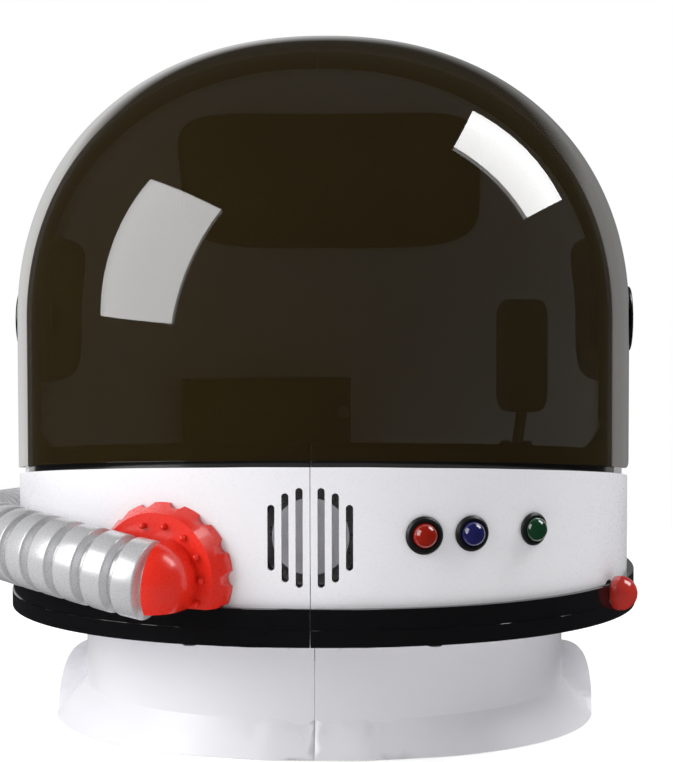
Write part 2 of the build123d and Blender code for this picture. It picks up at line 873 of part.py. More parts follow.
# Curved board behind the buttons
board_half_height = 11.0
board_overhang = 2.0  # turn past the outer posts
with BuildPart() as button_board:
    front = button_board_depth
    back = button_board_depth + button_board_thickness
    low = button_height - board_half_height
    high = button_height + board_half_height
    add(block(band_half_width - front, band_half_depth - front, low, high))
    back_width = band_half_width - back
    back_depth = band_half_depth - back
    add(block(back_width, back_depth, low - overrun, high + overrun), mode=Mode.SUBTRACT)
    board_start = board_post_turns[0] - board_overhang
    board_end = board_post_turns[-1] + board_overhang
    add(wedge(board_start, board_end, low, high), mode=Mode.INTERSECT)
keep(button_board.part, "button_board")

# Sound board and its chip
with BuildPart() as sound_board:
    add(
        slab(
            board_seat,
            -sound_board_depth - sound_board_thickness,
            -sound_board_depth,
            sound_board_width,
            sound_board_height,
        )
    )
keep(sound_board.part, "sound_board")

chip_radius = 4.5
chip_height = 1.6
chip_foot = -sound_board_depth + fit_gap
with BuildPart() as sound_chip:
    add(rod(board_seat, chip_foot, chip_foot + chip_height, chip_radius))
keep(sound_chip.part, "sound_chip")

# Speaker behind the grille
speaker_radius = 19.0
speaker_seat_depth = 4.4
speaker_rim_thickness = 1.4
speaker_cup_radius = 16.0
speaker_cup_wall = 1.0
speaker_depth = 9.0
magnet_radius = 9.0
magnet_height = 4.0
cone_edge = 0.8
speaker_plane = facing(0, grille_height)
rim_face = -speaker_seat_depth
rim_back = rim_face - speaker_rim_thickness
cup_floor = rim_back - speaker_depth
cup_bore = speaker_cup_radius - speaker_cup_wall
with BuildPart() as speaker_frame:
    add(
        spun(
            speaker_plane,
            [
                (0, cup_floor),
                (magnet_radius, cup_floor),
                (speaker_cup_radius, rim_back),
                (speaker_radius, rim_back),
                (speaker_radius, rim_face),
                (cup_bore, rim_face),
                (cup_bore, rim_back),
                (magnet_radius, cup_floor + speaker_cup_wall),
                (0, cup_floor + speaker_cup_wall),
            ],
        )
    )
keep(speaker_frame.part, "speaker_frame")

with BuildPart() as speaker_cone:
    add(
        spun(
            speaker_plane,
            [
                (0, cup_floor + 3 * speaker_cup_wall),
                (magnet_radius - cone_edge, cup_floor + 3 * speaker_cup_wall),
                (cup_bore - fit_gap, rim_face - cone_edge),
                (cup_bore - fit_gap, rim_face),
                (magnet_radius - cone_edge, cup_floor + 4 * speaker_cup_wall),
                (0, cup_floor + 4 * speaker_cup_wall),
            ],
        )
    )
keep(speaker_cone.part, "speaker_cone")

with BuildPart() as speaker_magnet:
    magnet_top = cup_floor - fit_gap
    add(rod(speaker_plane, magnet_top - magnet_height, magnet_top, magnet_radius))
keep(speaker_magnet.part, "speaker_magnet")

# Battery box on the back wall, with its cover, batteries and switch
battery_turn = -162.5
battery_height = 126.0
box_width = 84.0
box_height = 34.0
box_depth = 20.0
box_wall = 1.6
box_cover_thickness = 1.6
battery_radius = 7.1
battery_length = 50.0
battery_pitch = 14.8
battery_across = -8.0
contact_thickness = 0.5
contact_width = 11.0
switch_room = 16.0
box_plane = facing(battery_turn, battery_height, shell_inner_width, shell_inner_rise)
box_face = -box_depth
cover_top = box_face - fit_gap
cover_screw_across = -38.0
cover_screw_length = 9.0
screw_tip = cover_top - box_cover_thickness - fit_gap + cover_screw_length
cover_screw_plane = Plane(
    origin=box_plane.from_local_coords(Vector(cover_screw_across, 0, 0)),
    x_dir=box_plane.x_dir,
    z_dir=box_plane.z_dir,
)
cell_width = battery_length + 2 * contact_thickness + 4 * fit_gap
with BuildPart() as battery_box:
    add(slab(box_plane, box_face, overrun, box_width, box_height))
    add(
        slab(
            box_plane,
            box_face - overrun,
            box_face + 2 * battery_radius + 2 * fit_gap,
            cell_width,
            box_height - 2 * box_wall,
            battery_across,
        ),
        mode=Mode.SUBTRACT,
    )
    switch_across = battery_across + cell_width / 2 + box_wall + switch_room / 2
    room_height = box_height - 2 * box_wall
    room_floor = box_face + switch_room / 2
    add(
        slab(box_plane, box_face - overrun, room_floor, switch_room, room_height, switch_across),
        mode=Mode.SUBTRACT,
    )
    add(interior(fit_gap), mode=Mode.INTERSECT)
    add(rod(cover_screw_plane, box_face - overrun, screw_tip, thread_radius), mode=Mode.SUBTRACT)
keep(battery_box.part, "battery_box")

knob_width = 4.0
knob_height = 6.0
knob_proud = 2.0
switch_travel = 4.0
switch_body_depth = 5.0
with BuildPart() as battery_cover:
    add(slab(box_plane, cover_top - box_cover_thickness, cover_top, box_width, box_height))
    slot_size = knob_width + switch_travel + 2 * fit_gap
    add(
        slab(
            box_plane,
            cover_top - box_cover_thickness - overrun,
            cover_top + overrun,
            slot_size,
            knob_height + 2 * fit_gap,
            switch_across,
        ),
        mode=Mode.SUBTRACT,
    )
    screw_clearance = pivot_screw_radius + fit_gap
    add(rod(cover_screw_plane, cover_top - reach / 4, overrun, screw_clearance), mode=Mode.SUBTRACT)
keep(battery_cover.part, "battery_cover")

with BuildPart() as battery_cover_screw:
    head_low = cover_top - box_cover_thickness - fit_gap
    add(
        spun(
            cover_screw_plane,
            [
                (0, head_low - screw_head_height),
                (screw_head_radius, head_low - screw_head_height),
                (screw_head_radius, head_low),
                (pivot_screw_radius, head_low),
                (pivot_screw_radius, screw_tip - fit_gap),
                (0, screw_tip - fit_gap),
            ],
        )
    )
keep(battery_cover_screw.part, "battery_cover_screw")

with BuildPart() as power_switch_body:
    body_face = box_face + 3 * fit_gap
    body_width = switch_room - 2 * fit_gap
    body_height = knob_height + 2 * overrun
    add(slab(box_plane, body_face, body_face + switch_body_depth, body_width, body_height, switch_across))
keep(power_switch_body.part, "power_switch_body")

with BuildPart() as power_switch_knob:
    knob_across = switch_across - switch_travel / 2
    knob_face = cover_top - box_cover_thickness - knob_proud
    add(slab(box_plane, knob_face, body_face - fit_gap, knob_width, knob_height, knob_across))
keep(power_switch_knob.part, "power_switch_knob")

battery_seat = box_face + battery_radius + fit_gap
with BuildPart() as batteries:
    for up in (-battery_pitch / 2, battery_pitch / 2):
        middle = box_plane.from_local_coords(Vector(battery_across, up, battery_seat))
        lying = Plane(origin=middle, x_dir=box_plane.y_dir, z_dir=box_plane.x_dir)
        add(rod(lying, -battery_length / 2, battery_length / 2, battery_radius))
keep(batteries.part, "batteries")

with BuildPart() as battery_contacts:
    for end in (-1, 1):
        for up in (-battery_pitch / 2, battery_pitch / 2):
            contact_across = battery_across + end * (battery_length / 2 + fit_gap + contact_thickness / 2)
            add(
                slab(
                    box_plane,
                    battery_seat - contact_width / 2,
                    battery_seat + contact_width / 2,
                    contact_thickness,
                    contact_width,
                    contact_across,
                    up,
                )
            )
keep(battery_contacts.part, "battery_contacts")

# Microphone on its stalk, hinged on the inner cover
mic_turn = 42.0
mic_inset = 16.5
mic_base_width = 12.0
mic_base_depth = 9.0
mic_base_height = 12.0
mic_slot = 5.6
mic_pin_radius = 1.5
mic_pin_height = 8.0
stalk_radius = 2.2
stalk_eye_radius = 3.6
stalk_entry = 8.0  # how far the stalk reaches into the foam
capsule_radius = 10.5
capsule_length = 46.0
capsule_across = 84.0
capsule_forward = 71.0
capsule_height = 160.0
capsule_rounding_share = 0.7
mic_wall = facing(mic_turn, cover_high + fit_gap)
mic_foot = mic_wall.origin - mic_wall.z_dir * mic_inset
pin_middle = mic_foot + Vector(0, 0, mic_pin_height)
capsule_middle = Vector(capsule_across, -capsule_forward, capsule_height)
capsule_bottom = capsule_middle - Vector(0, 0, capsule_length / 2)
stalk_line = capsule_bottom - pin_middle
pin_direction = Vector(0, 0, 1).cross(stalk_line).normalized()
base_plane = Plane(origin=mic_foot, x_dir=pin_direction, z_dir=(0, 0, 1))
pin_plane = Plane(origin=pin_middle, x_dir=(0, 0, 1), z_dir=pin_direction)
stalk_plane = Plane(origin=pin_middle, x_dir=pin_direction, z_dir=stalk_line)
stalk_end = stalk_line.length + stalk_entry
fork_floor = mic_pin_height - stalk_eye_radius - fit_gap
with BuildPart() as mic_base:
    add(slab(base_plane, 0, mic_base_height, mic_base_width, mic_base_depth))
    add(
        slab(base_plane, fork_floor, mic_base_height + overrun, mic_slot, mic_base_depth + overrun),
        mode=Mode.SUBTRACT,
    )
    add(rod(pin_plane, -mic_base_width, mic_base_width, mic_pin_radius + fit_gap / 2), mode=Mode.SUBTRACT)
keep(mic_base.part, "mic_base")

with BuildPart() as mic_pin:
    add(rod(pin_plane, -mic_base_width / 2, mic_base_width / 2, mic_pin_radius))
keep(mic_pin.part, "mic_pin")

with BuildPart() as mic_stalk:
    eye_half = mic_slot / 2 - fit_gap
    add(rod(pin_plane, -eye_half, eye_half, stalk_eye_radius))
    add(rod(stalk_plane, 0, stalk_end, stalk_radius))
    add(rod(pin_plane, -mic_base_width, mic_base_width, mic_pin_radius + running_gap), mode=Mode.SUBTRACT)
keep(mic_stalk.part, "mic_stalk")

with BuildPart() as mic_capsule:
    stand = Plane(origin=capsule_middle, x_dir=(1, 0, 0), z_dir=(0, 0, 1))
    add(rod(stand, -capsule_length / 2, capsule_length / 2, capsule_radius))
    fillet(mic_capsule.edges(), capsule_radius * capsule_rounding_share)
    add(rod(stalk_plane, 0, stalk_end + fit_gap, stalk_radius + fit_gap / 2), mode=Mode.SUBTRACT)
keep(mic_capsule.part, "mic_capsule")

# Foam pads inside the dome
pad_gap = 0.4
crown_thickness = 12.0
crown_half_width = 73.0
crown_low = 209.0
crown_high = 272.0
crown_corner = 18.0
crown_front = 25.0
with BuildPart() as crown_pad:
    add(bell(shell_inner_width - pad_gap, shell_inner_rise - pad_gap, pivot_height - overrun))
    crown_width = shell_inner_width - crown_thickness
    crown_rise = shell_inner_rise - crown_thickness
    add(bell(crown_width, crown_rise, pivot_height - 2 * overrun), mode=Mode.SUBTRACT)
    with BuildSketch(Plane.XZ.offset(-crown_front)):
        with Locations((0, (crown_low + crown_high) / 2)):
            RectangleRounded(2 * crown_half_width, crown_high - crown_low, crown_corner)
    extrude(amount=-reach, mode=Mode.INTERSECT)
keep(crown_pad.part, "crown_pad")

side_pad_thickness = 10.0
side_pad_low = 146.0
side_pad_high = 212.0
side_pad_front = -38.0
side_pad_back = 42.0
side_pad_corner = 16.0
for side, word in sides:
    with BuildPart() as side_pad:
        add(bell(shell_inner_width - pad_gap, shell_inner_rise - pad_gap, side_pad_low))
        side_pad_inner_width = shell_inner_width - side_pad_thickness
        side_pad_inner_rise = shell_inner_rise - side_pad_thickness
        add(bell(side_pad_inner_width, side_pad_inner_rise, side_pad_low - overrun), mode=Mode.SUBTRACT)
        with BuildSketch(Plane.YZ):
            with Locations(((side_pad_front + side_pad_back) / 2, (side_pad_low + side_pad_high) / 2)):
                side_pad_length = side_pad_back - side_pad_front
                RectangleRounded(side_pad_length, side_pad_high - side_pad_low, side_pad_corner)
        extrude(amount=side * reach, mode=Mode.INTERSECT)
        add(rod(pivot_plane(side), reach / 2, reach, washer_radius + 2 * overrun), mode=Mode.SUBTRACT)
    keep(side_pad.part, "side_pad_" + word)

# The origin is the middle of the whole helmet's foot, so all pieces move there together
whole = Compound(children=[part.moved(Location()) for part in pieces.values()]).bounding_box()
shift = Vector(-(whole.min.X + whole.max.X) / 2, -(whole.min.Y + whole.max.Y) / 2, 0)
print("shift", shift, "low", round(whole.min.Z, 3), "size", whole.size)
for turn, name in zip(button_turns, button_names):
    seat = facing(turn, button_height)
    print("button", name, seat.origin + shift, seat.z_dir)
print("ball", ball_hole.origin + shift, ball_hole.z_dir)
print("mic pin", pin_middle + shift, pin_direction)
print("switch", box_plane.x_dir, "box", box_plane.origin + shift, box_plane.z_dir)
for node, part in pieces.items():
    placed = part.moved(Location(shift))
    placed.label = node
    export_step(placed, "parts/" + node + ".step")
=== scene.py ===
"""Looks of a play astronaut helmet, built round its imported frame.

Each sub-assembly is a class that holds its sizes in millimetres, measured from the middle of the
helmet's foot, and makes its pieces as numpy surfaces or as rounded skins over the frame's solids.
"""

import json
import logging
import math
from dataclasses import dataclass
from enum import Enum

import bmesh
import bpy
import numpy as np
from mathutils import Matrix

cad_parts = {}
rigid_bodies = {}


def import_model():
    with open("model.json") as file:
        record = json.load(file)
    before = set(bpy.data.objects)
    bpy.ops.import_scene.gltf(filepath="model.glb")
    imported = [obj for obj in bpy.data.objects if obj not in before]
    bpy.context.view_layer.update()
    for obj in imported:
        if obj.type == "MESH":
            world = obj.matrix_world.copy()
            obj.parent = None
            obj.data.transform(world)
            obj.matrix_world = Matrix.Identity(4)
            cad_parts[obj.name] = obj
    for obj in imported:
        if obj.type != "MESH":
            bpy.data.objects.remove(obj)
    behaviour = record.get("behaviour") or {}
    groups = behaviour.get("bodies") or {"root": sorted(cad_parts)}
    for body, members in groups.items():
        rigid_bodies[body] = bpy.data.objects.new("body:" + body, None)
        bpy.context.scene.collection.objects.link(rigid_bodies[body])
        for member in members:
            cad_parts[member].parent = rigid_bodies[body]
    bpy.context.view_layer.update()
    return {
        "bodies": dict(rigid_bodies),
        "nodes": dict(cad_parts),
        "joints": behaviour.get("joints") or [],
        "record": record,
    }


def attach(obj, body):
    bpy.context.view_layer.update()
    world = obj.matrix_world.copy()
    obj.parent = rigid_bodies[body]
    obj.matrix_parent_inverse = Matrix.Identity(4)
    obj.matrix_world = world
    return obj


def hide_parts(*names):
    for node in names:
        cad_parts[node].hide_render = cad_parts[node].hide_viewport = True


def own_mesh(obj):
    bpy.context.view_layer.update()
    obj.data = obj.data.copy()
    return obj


Array = np.ndarray
Piece = bpy.types.Object
Socket = bpy.types.NodeSocket
Inputs = dict[str | int, object]
Pair = tuple[float, float]
Triple = tuple[float, float, float]
Quad = tuple[float, float, float, float]

LOG = logging.getLogger("helmet")
MM = 0.001
SHIFT = np.array([13.9964, 4.2709, 0.0])  # from the helmet's middle to the frame's origin
FULLNESS = 2.18  # exponent of the outlines
PIVOT_HEIGHT = 174.0
BAND = (134.2, 131.0)  # half width and half depth of the chin band
WELD_MM = 0.002
LONGEST_MM = 7.0  # the longest edge on a wall
HALVINGS = 5
NEAR_MM = 0.25  # points this near to a wall are set on it
FARTHEST_MM = 0.9
NEAR_SHARE = 0.3  # of the distances to the two nearest walls
ON_WALL_MM = 0.4  # faces this near to a wall are shaded like it,
ALIKE = 0.85  # if they face much the same way
FLAT = math.radians(0.05)
SHARP = math.radians(38)
UP = np.array([0.0, 0.0, 1.0])
SIDES = ((-1, "left"), (1, "right"))


class Body(str, Enum):
    """The frame's bodies that pieces ride on."""

    HELMET = "helmet"
    VISOR = "visor"
    RED = "red_button"
    BLUE = "blue_button"
    GREEN = "green_button"
    BALL = "ball"
    MICROPHONE = "microphone"
    SWITCH = "switch_knob"


class Slot(str, Enum):
    """The record's material slots."""

    SHELL = "shell_white"
    COLLAR = "collar_white"
    VISOR = "visor_smoke"
    TRIM = "trim_black"
    RIM = "rim_black"
    HOSE = "hose_grey"
    FITTING = "fitting_red"
    RED = "button_red"
    BLUE = "button_blue"
    GREEN = "button_green"
    BALL = "ball_red"
    INNER = "inner_black"
    INNER_WHITE = "inner_white"
    FOAM = "foam_black"
    BOARD = "board_green"
    CHIP = "chip_black"
    STEEL = "steel"
    CONE = "paper_cone"
    JACKET = "battery_jacket"


def linear(colour: str) -> Quad:
    """Turns an sRGB hex colour into linear light, with an alpha of 1."""
    parts = np.array([int(colour[i : i + 2], 16) for i in (1, 3, 5)]) / 255
    light = np.where(parts <= 0.04045, parts / 12.92, ((parts + 0.055) / 1.055) ** 2.4)
    return (*light.tolist(), 1.0)


def unit(vectors: Array) -> Array:
    """Gives each row of some vectors a length of 1."""
    return vectors / np.linalg.norm(vectors, axis=-1, keepdims=True)


def around(columns: int) -> Array:
    """Gives evenly spaced angles round a circle."""
    return np.linspace(0, 2 * math.pi, columns, endpoint=False)


def arc(radius: float, middle: float, turn: Array) -> Array:
    """Gives places on the circle round (0, middle), by their angles."""
    return np.column_stack((radius * np.cos(turn), middle + radius * np.sin(turn)))


def stairs(*levels: float) -> list[Pair]:
    """Gives a line's corners from its levels: a radius, a height, the next radius, and so on."""
    pairs = enumerate(zip(levels, levels[1:]))
    return [(second, first) if place % 2 else (first, second) for place, (first, second) in pairs]


def stand(name: str, data: bpy.types.ID) -> Piece:
    """Makes an object and puts it in the scene."""
    thing = bpy.data.objects.new(name, data)
    bpy.context.scene.collection.objects.link(thing)
    return thing


def turn_to(thing: Piece, place: Array, *axes: Array) -> None:
    """Moves an object to a place on the helmet, with its axes along three directions."""
    turn = np.eye(4)
    turn[:3, :3] = np.stack(axes, 1)
    turn[:3, 3] = (place + SHIFT) * MM
    thing.matrix_world = Matrix(turn.tolist())


def weld(work: bmesh.types.BMesh) -> None:
    """Joins points that lie on one another."""
    bmesh.ops.remove_doubles(work, verts=work.verts, dist=WELD_MM * MM)


def close(work: bmesh.types.BMesh, mesh: bpy.types.Mesh) -> Piece:
    """Writes an edited mesh back and makes its piece, smooth except at its sharp edges."""
    work.to_mesh(mesh)
    work.free()
    mesh.shade_smooth()
    mesh.set_sharp_from_angle(angle=SHARP)
    return stand(mesh.name, mesh)


class Graph:
    """A node tree in the making. Each method adds a node and gives the output that others use."""

    def __init__(self, owner: bpy.types.Material | bpy.types.World, coordinates: str) -> None:
        """Empties a material's or world's tree and adds the coordinates that its patterns lie on."""
        owner.use_nodes = True
        self.tree = owner.node_tree
        self.tree.nodes.clear()
        self.place = self.add("TexCoord", coordinates)

    def add(self, kind: str, output: str | int, settings: Inputs | None = None) -> Socket:
        """Adds one node and gives its wanted output.

        The settings hold, by an input's name or place, its value or the output that feeds it, or else
        by an attribute's name, its value.
        """
        node = self.tree.nodes.new("ShaderNode" + kind)
        for key, value in (settings or {}).items():
            if isinstance(key, str) and key not in node.inputs:
                setattr(node, key, value)
            elif isinstance(value, Socket):
                self.tree.links.new(value, node.inputs[key])
            else:
                node.inputs[key].default_value = value
        return node.outputs[output]

    def end(self, kind: str, surface: Socket) -> None:
        """Ends the tree with its output node."""
        last = self.tree.nodes.new("ShaderNode" + kind)
        self.tree.links.new(surface, last.inputs["Surface"])

    def rays(self, kind: str) -> Socket:
        """Tells whether a ray is of a kind."""
        return self.add("LightPath", f"Is {kind} Ray")

    def maths(self, operation: str, *values: Socket | float) -> Socket:
        """Works out a value from others."""
        return self.add("Math", "Value", {"operation": operation, **dict(enumerate(values))})

    def times(self, first: Socket, *others: Socket | float) -> Socket:
        """Multiplies values."""
        for other in others:
            first = self.maths("MULTIPLY", first, other)
        return first

    def remap(self, value: Socket, low: float, high: float, start: Pair = (0.0, 1.0)) -> Socket:
        """Maps a value evenly, so that the start range becomes low to high, and holds it there."""
        spread = {"From Min": start[0], "From Max": start[1], "To Min": low, "To Max": high}
        return self.add("MapRange", "Result", {"Value": value, **spread})

    def noise(self, size_mm: float, detail: float, **settings: float) -> Socket:
        """Adds a noise whose lumps have a size."""
        spread = {"Scale": 1 / (size_mm * MM), "Detail": detail, **settings}
        return self.add("TexNoise", "Fac", {"Vector": self.place, **spread})

    def tint(self, share: Socket, first: str, second: str) -> Socket:
        """Mixes two hex colours."""
        colours = {6: linear(first), 7: linear(second)}
        return self.add("Mix", 2, {"data_type": "RGBA", 0: share, **colours})

    def bump(
        self, height: Socket, depth_mm: float, strength: float = 1.0, under: Socket | None = None
    ) -> Socket:
        """Adds a relief, over another one where there is one under it."""
        settings = {"Height": height, "Distance": depth_mm * MM, "Strength": strength}
        if under is not None:
            settings["Normal"] = under
        return self.add("Bump", "Normal", settings)

    def either(self, share: Socket, first: Socket, second: Socket) -> Socket:
        """Mixes two shaders."""
        return self.add("MixShader", "Shader", {0: share, 1: first, 2: second})


@dataclass(frozen=True)
class Finish:
    """A material with one principled shader, whose inputs each kind of finish gives."""

    name: str

    def build(self) -> bpy.types.Material:
        """Makes the material."""
        material = bpy.data.materials.new(self.name)
        graph = Graph(material, "Object")
        graph.end("OutputMaterial", graph.add("BsdfPrincipled", "BSDF", self.inputs(graph)))
        return material

    def inputs(self, graph: Graph) -> Inputs:
        """Gives the shader's inputs."""
        raise NotImplementedError


@dataclass(frozen=True)
class MouldedPlastic(Finish):
    """An injection-moulded plastic: even colour, a slow ripple and a fine grain in its gloss."""

    colour: str
    shade: str
    roughness: float
    coat: float = 0.0
    grain_mm: float = 1.2
    grain_depth: float = 0.001
    ripple_mm: float = 45.0
    ripple_depth: float = 0.12
    metallic: float = 0.0

    def inputs(self, graph: Graph) -> Inputs:
        """Gives the shader's inputs."""
        ripple = graph.noise(self.ripple_mm, 2.0, Roughness=0.5)
        grain = graph.noise(self.grain_mm, 3.0, Roughness=0.6)
        swell = graph.bump(ripple, self.ripple_depth)
        return {
            "Base Color": graph.tint(ripple, self.colour, self.shade),
            "Roughness": graph.remap(grain, 0.8 * self.roughness, 1.2 * self.roughness, (0.3, 0.7)),
            "Normal": graph.bump(grain, self.grain_depth, under=swell),
            "IOR": 1.5,
            "Metallic": self.metallic,
            "Coat Weight": self.coat,
            "Coat Roughness": 0.04,
        }


@dataclass(frozen=True)
class SmokedAcrylic(Finish):
    """A smoke-brown acrylic bowl: very smooth, and see-through except where it is seen edge on."""

    colour: str
    deep: str
    alpha: float
    roughness: float = 0.015
    cloud_mm: float = 60.0
    scratch_mm: float = 6.0

    def inputs(self, graph: Graph) -> Inputs:
        """Gives the shader's inputs."""
        cloud = graph.noise(self.cloud_mm, 1.0)
        scratch = graph.noise(self.scratch_mm, 6.0, Distortion=2.0)
        edge_on = graph.add("LayerWeight", "Facing", {"Blend": 0.5})
        return {
            "Base Color": graph.tint(cloud, self.colour, self.deep),
            "Roughness": graph.remap(scratch, self.roughness, 1.2 * self.roughness, (0.45, 0.8)),
            "Alpha": graph.remap(edge_on, self.alpha, 1.0, (0.5, 0.85)),
            "IOR": 1.49,
            "Specular IOR Level": 1.0,
            "Coat Weight": 1.0,
            "Coat Roughness": 0.02,
            "Coat IOR": 1.6,
        }


@dataclass(frozen=True)
class OpenFoam(Finish):
    """Black open-cell polyurethane foam: matt, with painted highlights on its cell walls and painted shade
    in its cells.
    """

    colour: str = "#17161a"
    lit_cell_wall: str = "#2b2a2d"
    cell_mm: float = 1.4  # real cells are half as wide, drawn coarser so that they show
    lump_mm: float = 9.0

    def inputs(self, graph: Graph) -> Inputs:
        """Gives the shader's inputs."""
        pattern = {"Scale": 1 / (self.cell_mm * MM), "feature": "DISTANCE_TO_EDGE"}
        cells = graph.add("TexVoronoi", "Distance", {"Vector": graph.place, **pattern})
        lumps = graph.noise(self.lump_mm, 3.0)
        wall = graph.remap(cells, 1.0, 0.0, (0.0, 0.22))
        return {
            # the cell walls are painted lighter as a painted highlight, and the cells' hollows darker as
            # painted shade
            "Base Color": graph.tint(wall, self.colour, self.lit_cell_wall),
            "Roughness": graph.remap(lumps, 0.85, 1.0),
            "Normal": graph.bump(wall, 0.3, 0.9, graph.bump(lumps, 0.5, 0.7)),
            "Sheen Weight": 0.15,
            "Sheen Roughness": 0.6,
            "IOR": 1.45,
        }


@dataclass(frozen=True)
class DrawnSteel(Finish):
    """Zinc-plated steel: bright, with a cloudy plating."""

    colour: str = "#b9b8b4"
    dull: str = "#8d8c88"
    roughness: float = 0.28
    cloud_mm: float = 2.0

    def inputs(self, graph: Graph) -> Inputs:
        """Gives the shader's inputs."""
        cloud = graph.noise(self.cloud_mm, 4.0)
        return {
            "Base Color": graph.tint(cloud, self.colour, self.dull),
            "Roughness": graph.remap(cloud, 0.7 * self.roughness, 1.4 * self.roughness),
            "Normal": graph.bump(cloud, 0.01, 0.4),
            "Metallic": 1.0,
        }


@dataclass(frozen=True)
class PulpPaper(Finish):
    """Pressed paper pulp of a small speaker cone: matt, with short fibres."""

    colour: str = "#dcdbde"
    fibre: str = "#e6e5e8"
    fibre_mm: float = 1.0

    def inputs(self, graph: Graph) -> Inputs:
        """Gives the shader's inputs."""
        fibres = graph.noise(self.fibre_mm, 5.0, Distortion=1.5)
        return {
            "Base Color": graph.tint(fibres, self.colour, self.fibre),
            "Roughness": graph.remap(fibres, 0.8, 0.95),
            "Normal": graph.bump(fibres, 0.1, 0.6),
        }


@dataclass(frozen=True)
class CircuitBoard(Finish):
    """A glass-fibre board under green lacquer, with paler copper tracks that run on its height."""

    lacquer: str = "#12512f"
    track: str = "#2b7a48"
    track_mm: float = 2.2

    def inputs(self, graph: Graph) -> Inputs:
        """Gives the shader's inputs."""
        pattern = {
            "Scale": 1 / (3 * self.track_mm * MM),
            "Distortion": 3.0,
            "Detail Scale": 0.4,
            "bands_direction": "Z",
        }
        tracks = graph.add("TexWave", "Fac", {"Vector": graph.place, **pattern})
        edge = graph.remap(tracks, 0.0, 1.0, (0.62, 0.7))
        return {
            "Base Color": graph.tint(edge, self.lacquer, self.track),
            "Roughness": graph.remap(tracks, 0.22, 0.34),
            "Normal": graph.bump(edge, 0.04),
            "IOR": 1.5,
        }


FINISHES = {
    Slot.SHELL: MouldedPlastic("white moulded ABS", "#efeef1", "#e8e7ec", 0.3, grain_mm=0.9),
    Slot.COLLAR: MouldedPlastic("white moulded polypropylene", "#f3f2f6", "#ebeaf0", 0.36, grain_mm=1.4),
    Slot.TRIM: MouldedPlastic("black glossy polystyrene", "#0f0e10", "#151416", 0.16, coat=0.4),
    Slot.RIM: MouldedPlastic("black glossy ABS", "#0b0a0c", "#100f11", 0.18, coat=0.3, ripple_depth=0.03),
    Slot.HOSE: MouldedPlastic(
        "silver-painted soft PVC", "#d6d6d8", "#c4c4c6", 0.3, coat=0.2, grain_mm=0.5, metallic=0.3
    ),
    Slot.FITTING: MouldedPlastic("red moulded polyethylene", "#ee2a17", "#df2211", 0.3, coat=0.3),
    Slot.RED: MouldedPlastic("deep red polycarbonate", "#8e1a0c", "#7c150a", 0.12, coat=0.6),
    Slot.BLUE: MouldedPlastic("deep blue polycarbonate", "#1b1c52", "#181946", 0.12, coat=0.6),
    Slot.GREEN: MouldedPlastic("deep green polycarbonate", "#123a22", "#10311c", 0.12, coat=0.6),
    Slot.BALL: MouldedPlastic("red glossy ABS", "#c0342c", "#ad2c26", 0.18, coat=0.4),
    Slot.INNER: MouldedPlastic("black matt ABS", "#131214", "#19181b", 0.45, grain_depth=0.01),
    Slot.INNER_WHITE: MouldedPlastic("white satin ABS", "#e0dfe3", "#d6d5da", 0.4),
    Slot.CHIP: MouldedPlastic("black epoxy resin", "#121113", "#19181a", 0.3, ripple_mm=6.0),
    Slot.JACKET: MouldedPlastic(
        "grey shrink-wrapped steel", "#3c3c42", "#33333a", 0.25, coat=0.3, metallic=0.3
    ),
    Slot.VISOR: SmokedAcrylic("smoke-brown acrylic", "#30270f", "#2a200c", 0.56),
    Slot.FOAM: OpenFoam("black open-cell foam"),
    Slot.BOARD: CircuitBoard("green lacquered board"),
    Slot.STEEL: DrawnSteel("zinc-plated steel"),
    Slot.CONE: PulpPaper("pressed paper pulp"),
}


@dataclass(frozen=True)
class Wall:
    """An upright or bell-shaped wall, on the formula that its outline follows."""

    half_width: float
    half_depth: float
    bell: bool = False

    def read(self, points: Array) -> tuple[Array, Array]:
        """Finds how far points lie from the wall, and its outward unit directions there.

        The wall is where |x / half width|^n + |r / half depth|^n = 1. r is |y|, and on a bell above
        the pivots it is the distance from the line through them.
        """
        x, y = points[:, 0], points[:, 1]
        rise = np.maximum(points[:, 2] - PIVOT_HEIGHT, 0) if self.bell else np.zeros_like(x)
        out = np.hypot(y, rise)
        across, along = np.abs(x) / self.half_width, out / self.half_depth
        level = across**FULLNESS + along**FULLNESS
        slope_x = np.sign(x) * across ** (FULLNESS - 1) / self.half_width
        slope_out = along ** (FULLNESS - 1) / self.half_depth
        safe = np.maximum(out, 1e-9)
        slope = np.stack((slope_x, slope_out * y / safe, slope_out * rise / safe), 1)
        length = np.maximum(np.linalg.norm(slope, axis=1), 1e-12)
        return (level - 1) / (FULLNESS * length), slope / length[:, None]


def on_outline(turn: Array, half_width: float, half_depth: float) -> Array:
    """Finds places on an outline, by their angles from the front.

    The distance from the middle is (|sin t / half width|^n + |cos t / half depth|^n)^(-1/n).
    """
    sine, cosine = np.sin(turn), np.cos(turn)
    level = np.abs(sine / half_width) ** FULLNESS + np.abs(cosine / half_depth) ** FULLNESS
    distance = level ** (-1 / FULLNESS)
    return np.stack((distance * sine, -distance * cosine), -1)


@dataclass(frozen=True)
class Seat:
    """A flat place on the helmet: its middle, and the directions across, up and out of it."""

    middle: Array
    across: Array
    up: Array
    out: Array

    def place(self, local: Array) -> Array:
        """Turns (across, up, out) places on the seat into places on the helmet."""
        return self.middle + local @ self.axes()

    def axes(self) -> Array:
        """Gives the directions across, up and out, one a row."""
        return np.stack((self.across, self.up, self.out))


def seat_on(turn: float, height: float) -> Seat:
    """Finds the seat on the chin band, some degrees from the front towards the right, looking out."""
    x, y = on_outline(np.array(math.radians(turn)), *BAND)
    middle = np.array([x, y, height])
    out = Wall(*BAND).read(middle[None])[1][0]
    return Seat(middle, np.array([-out[1], out[0], 0.0]), UP, out)


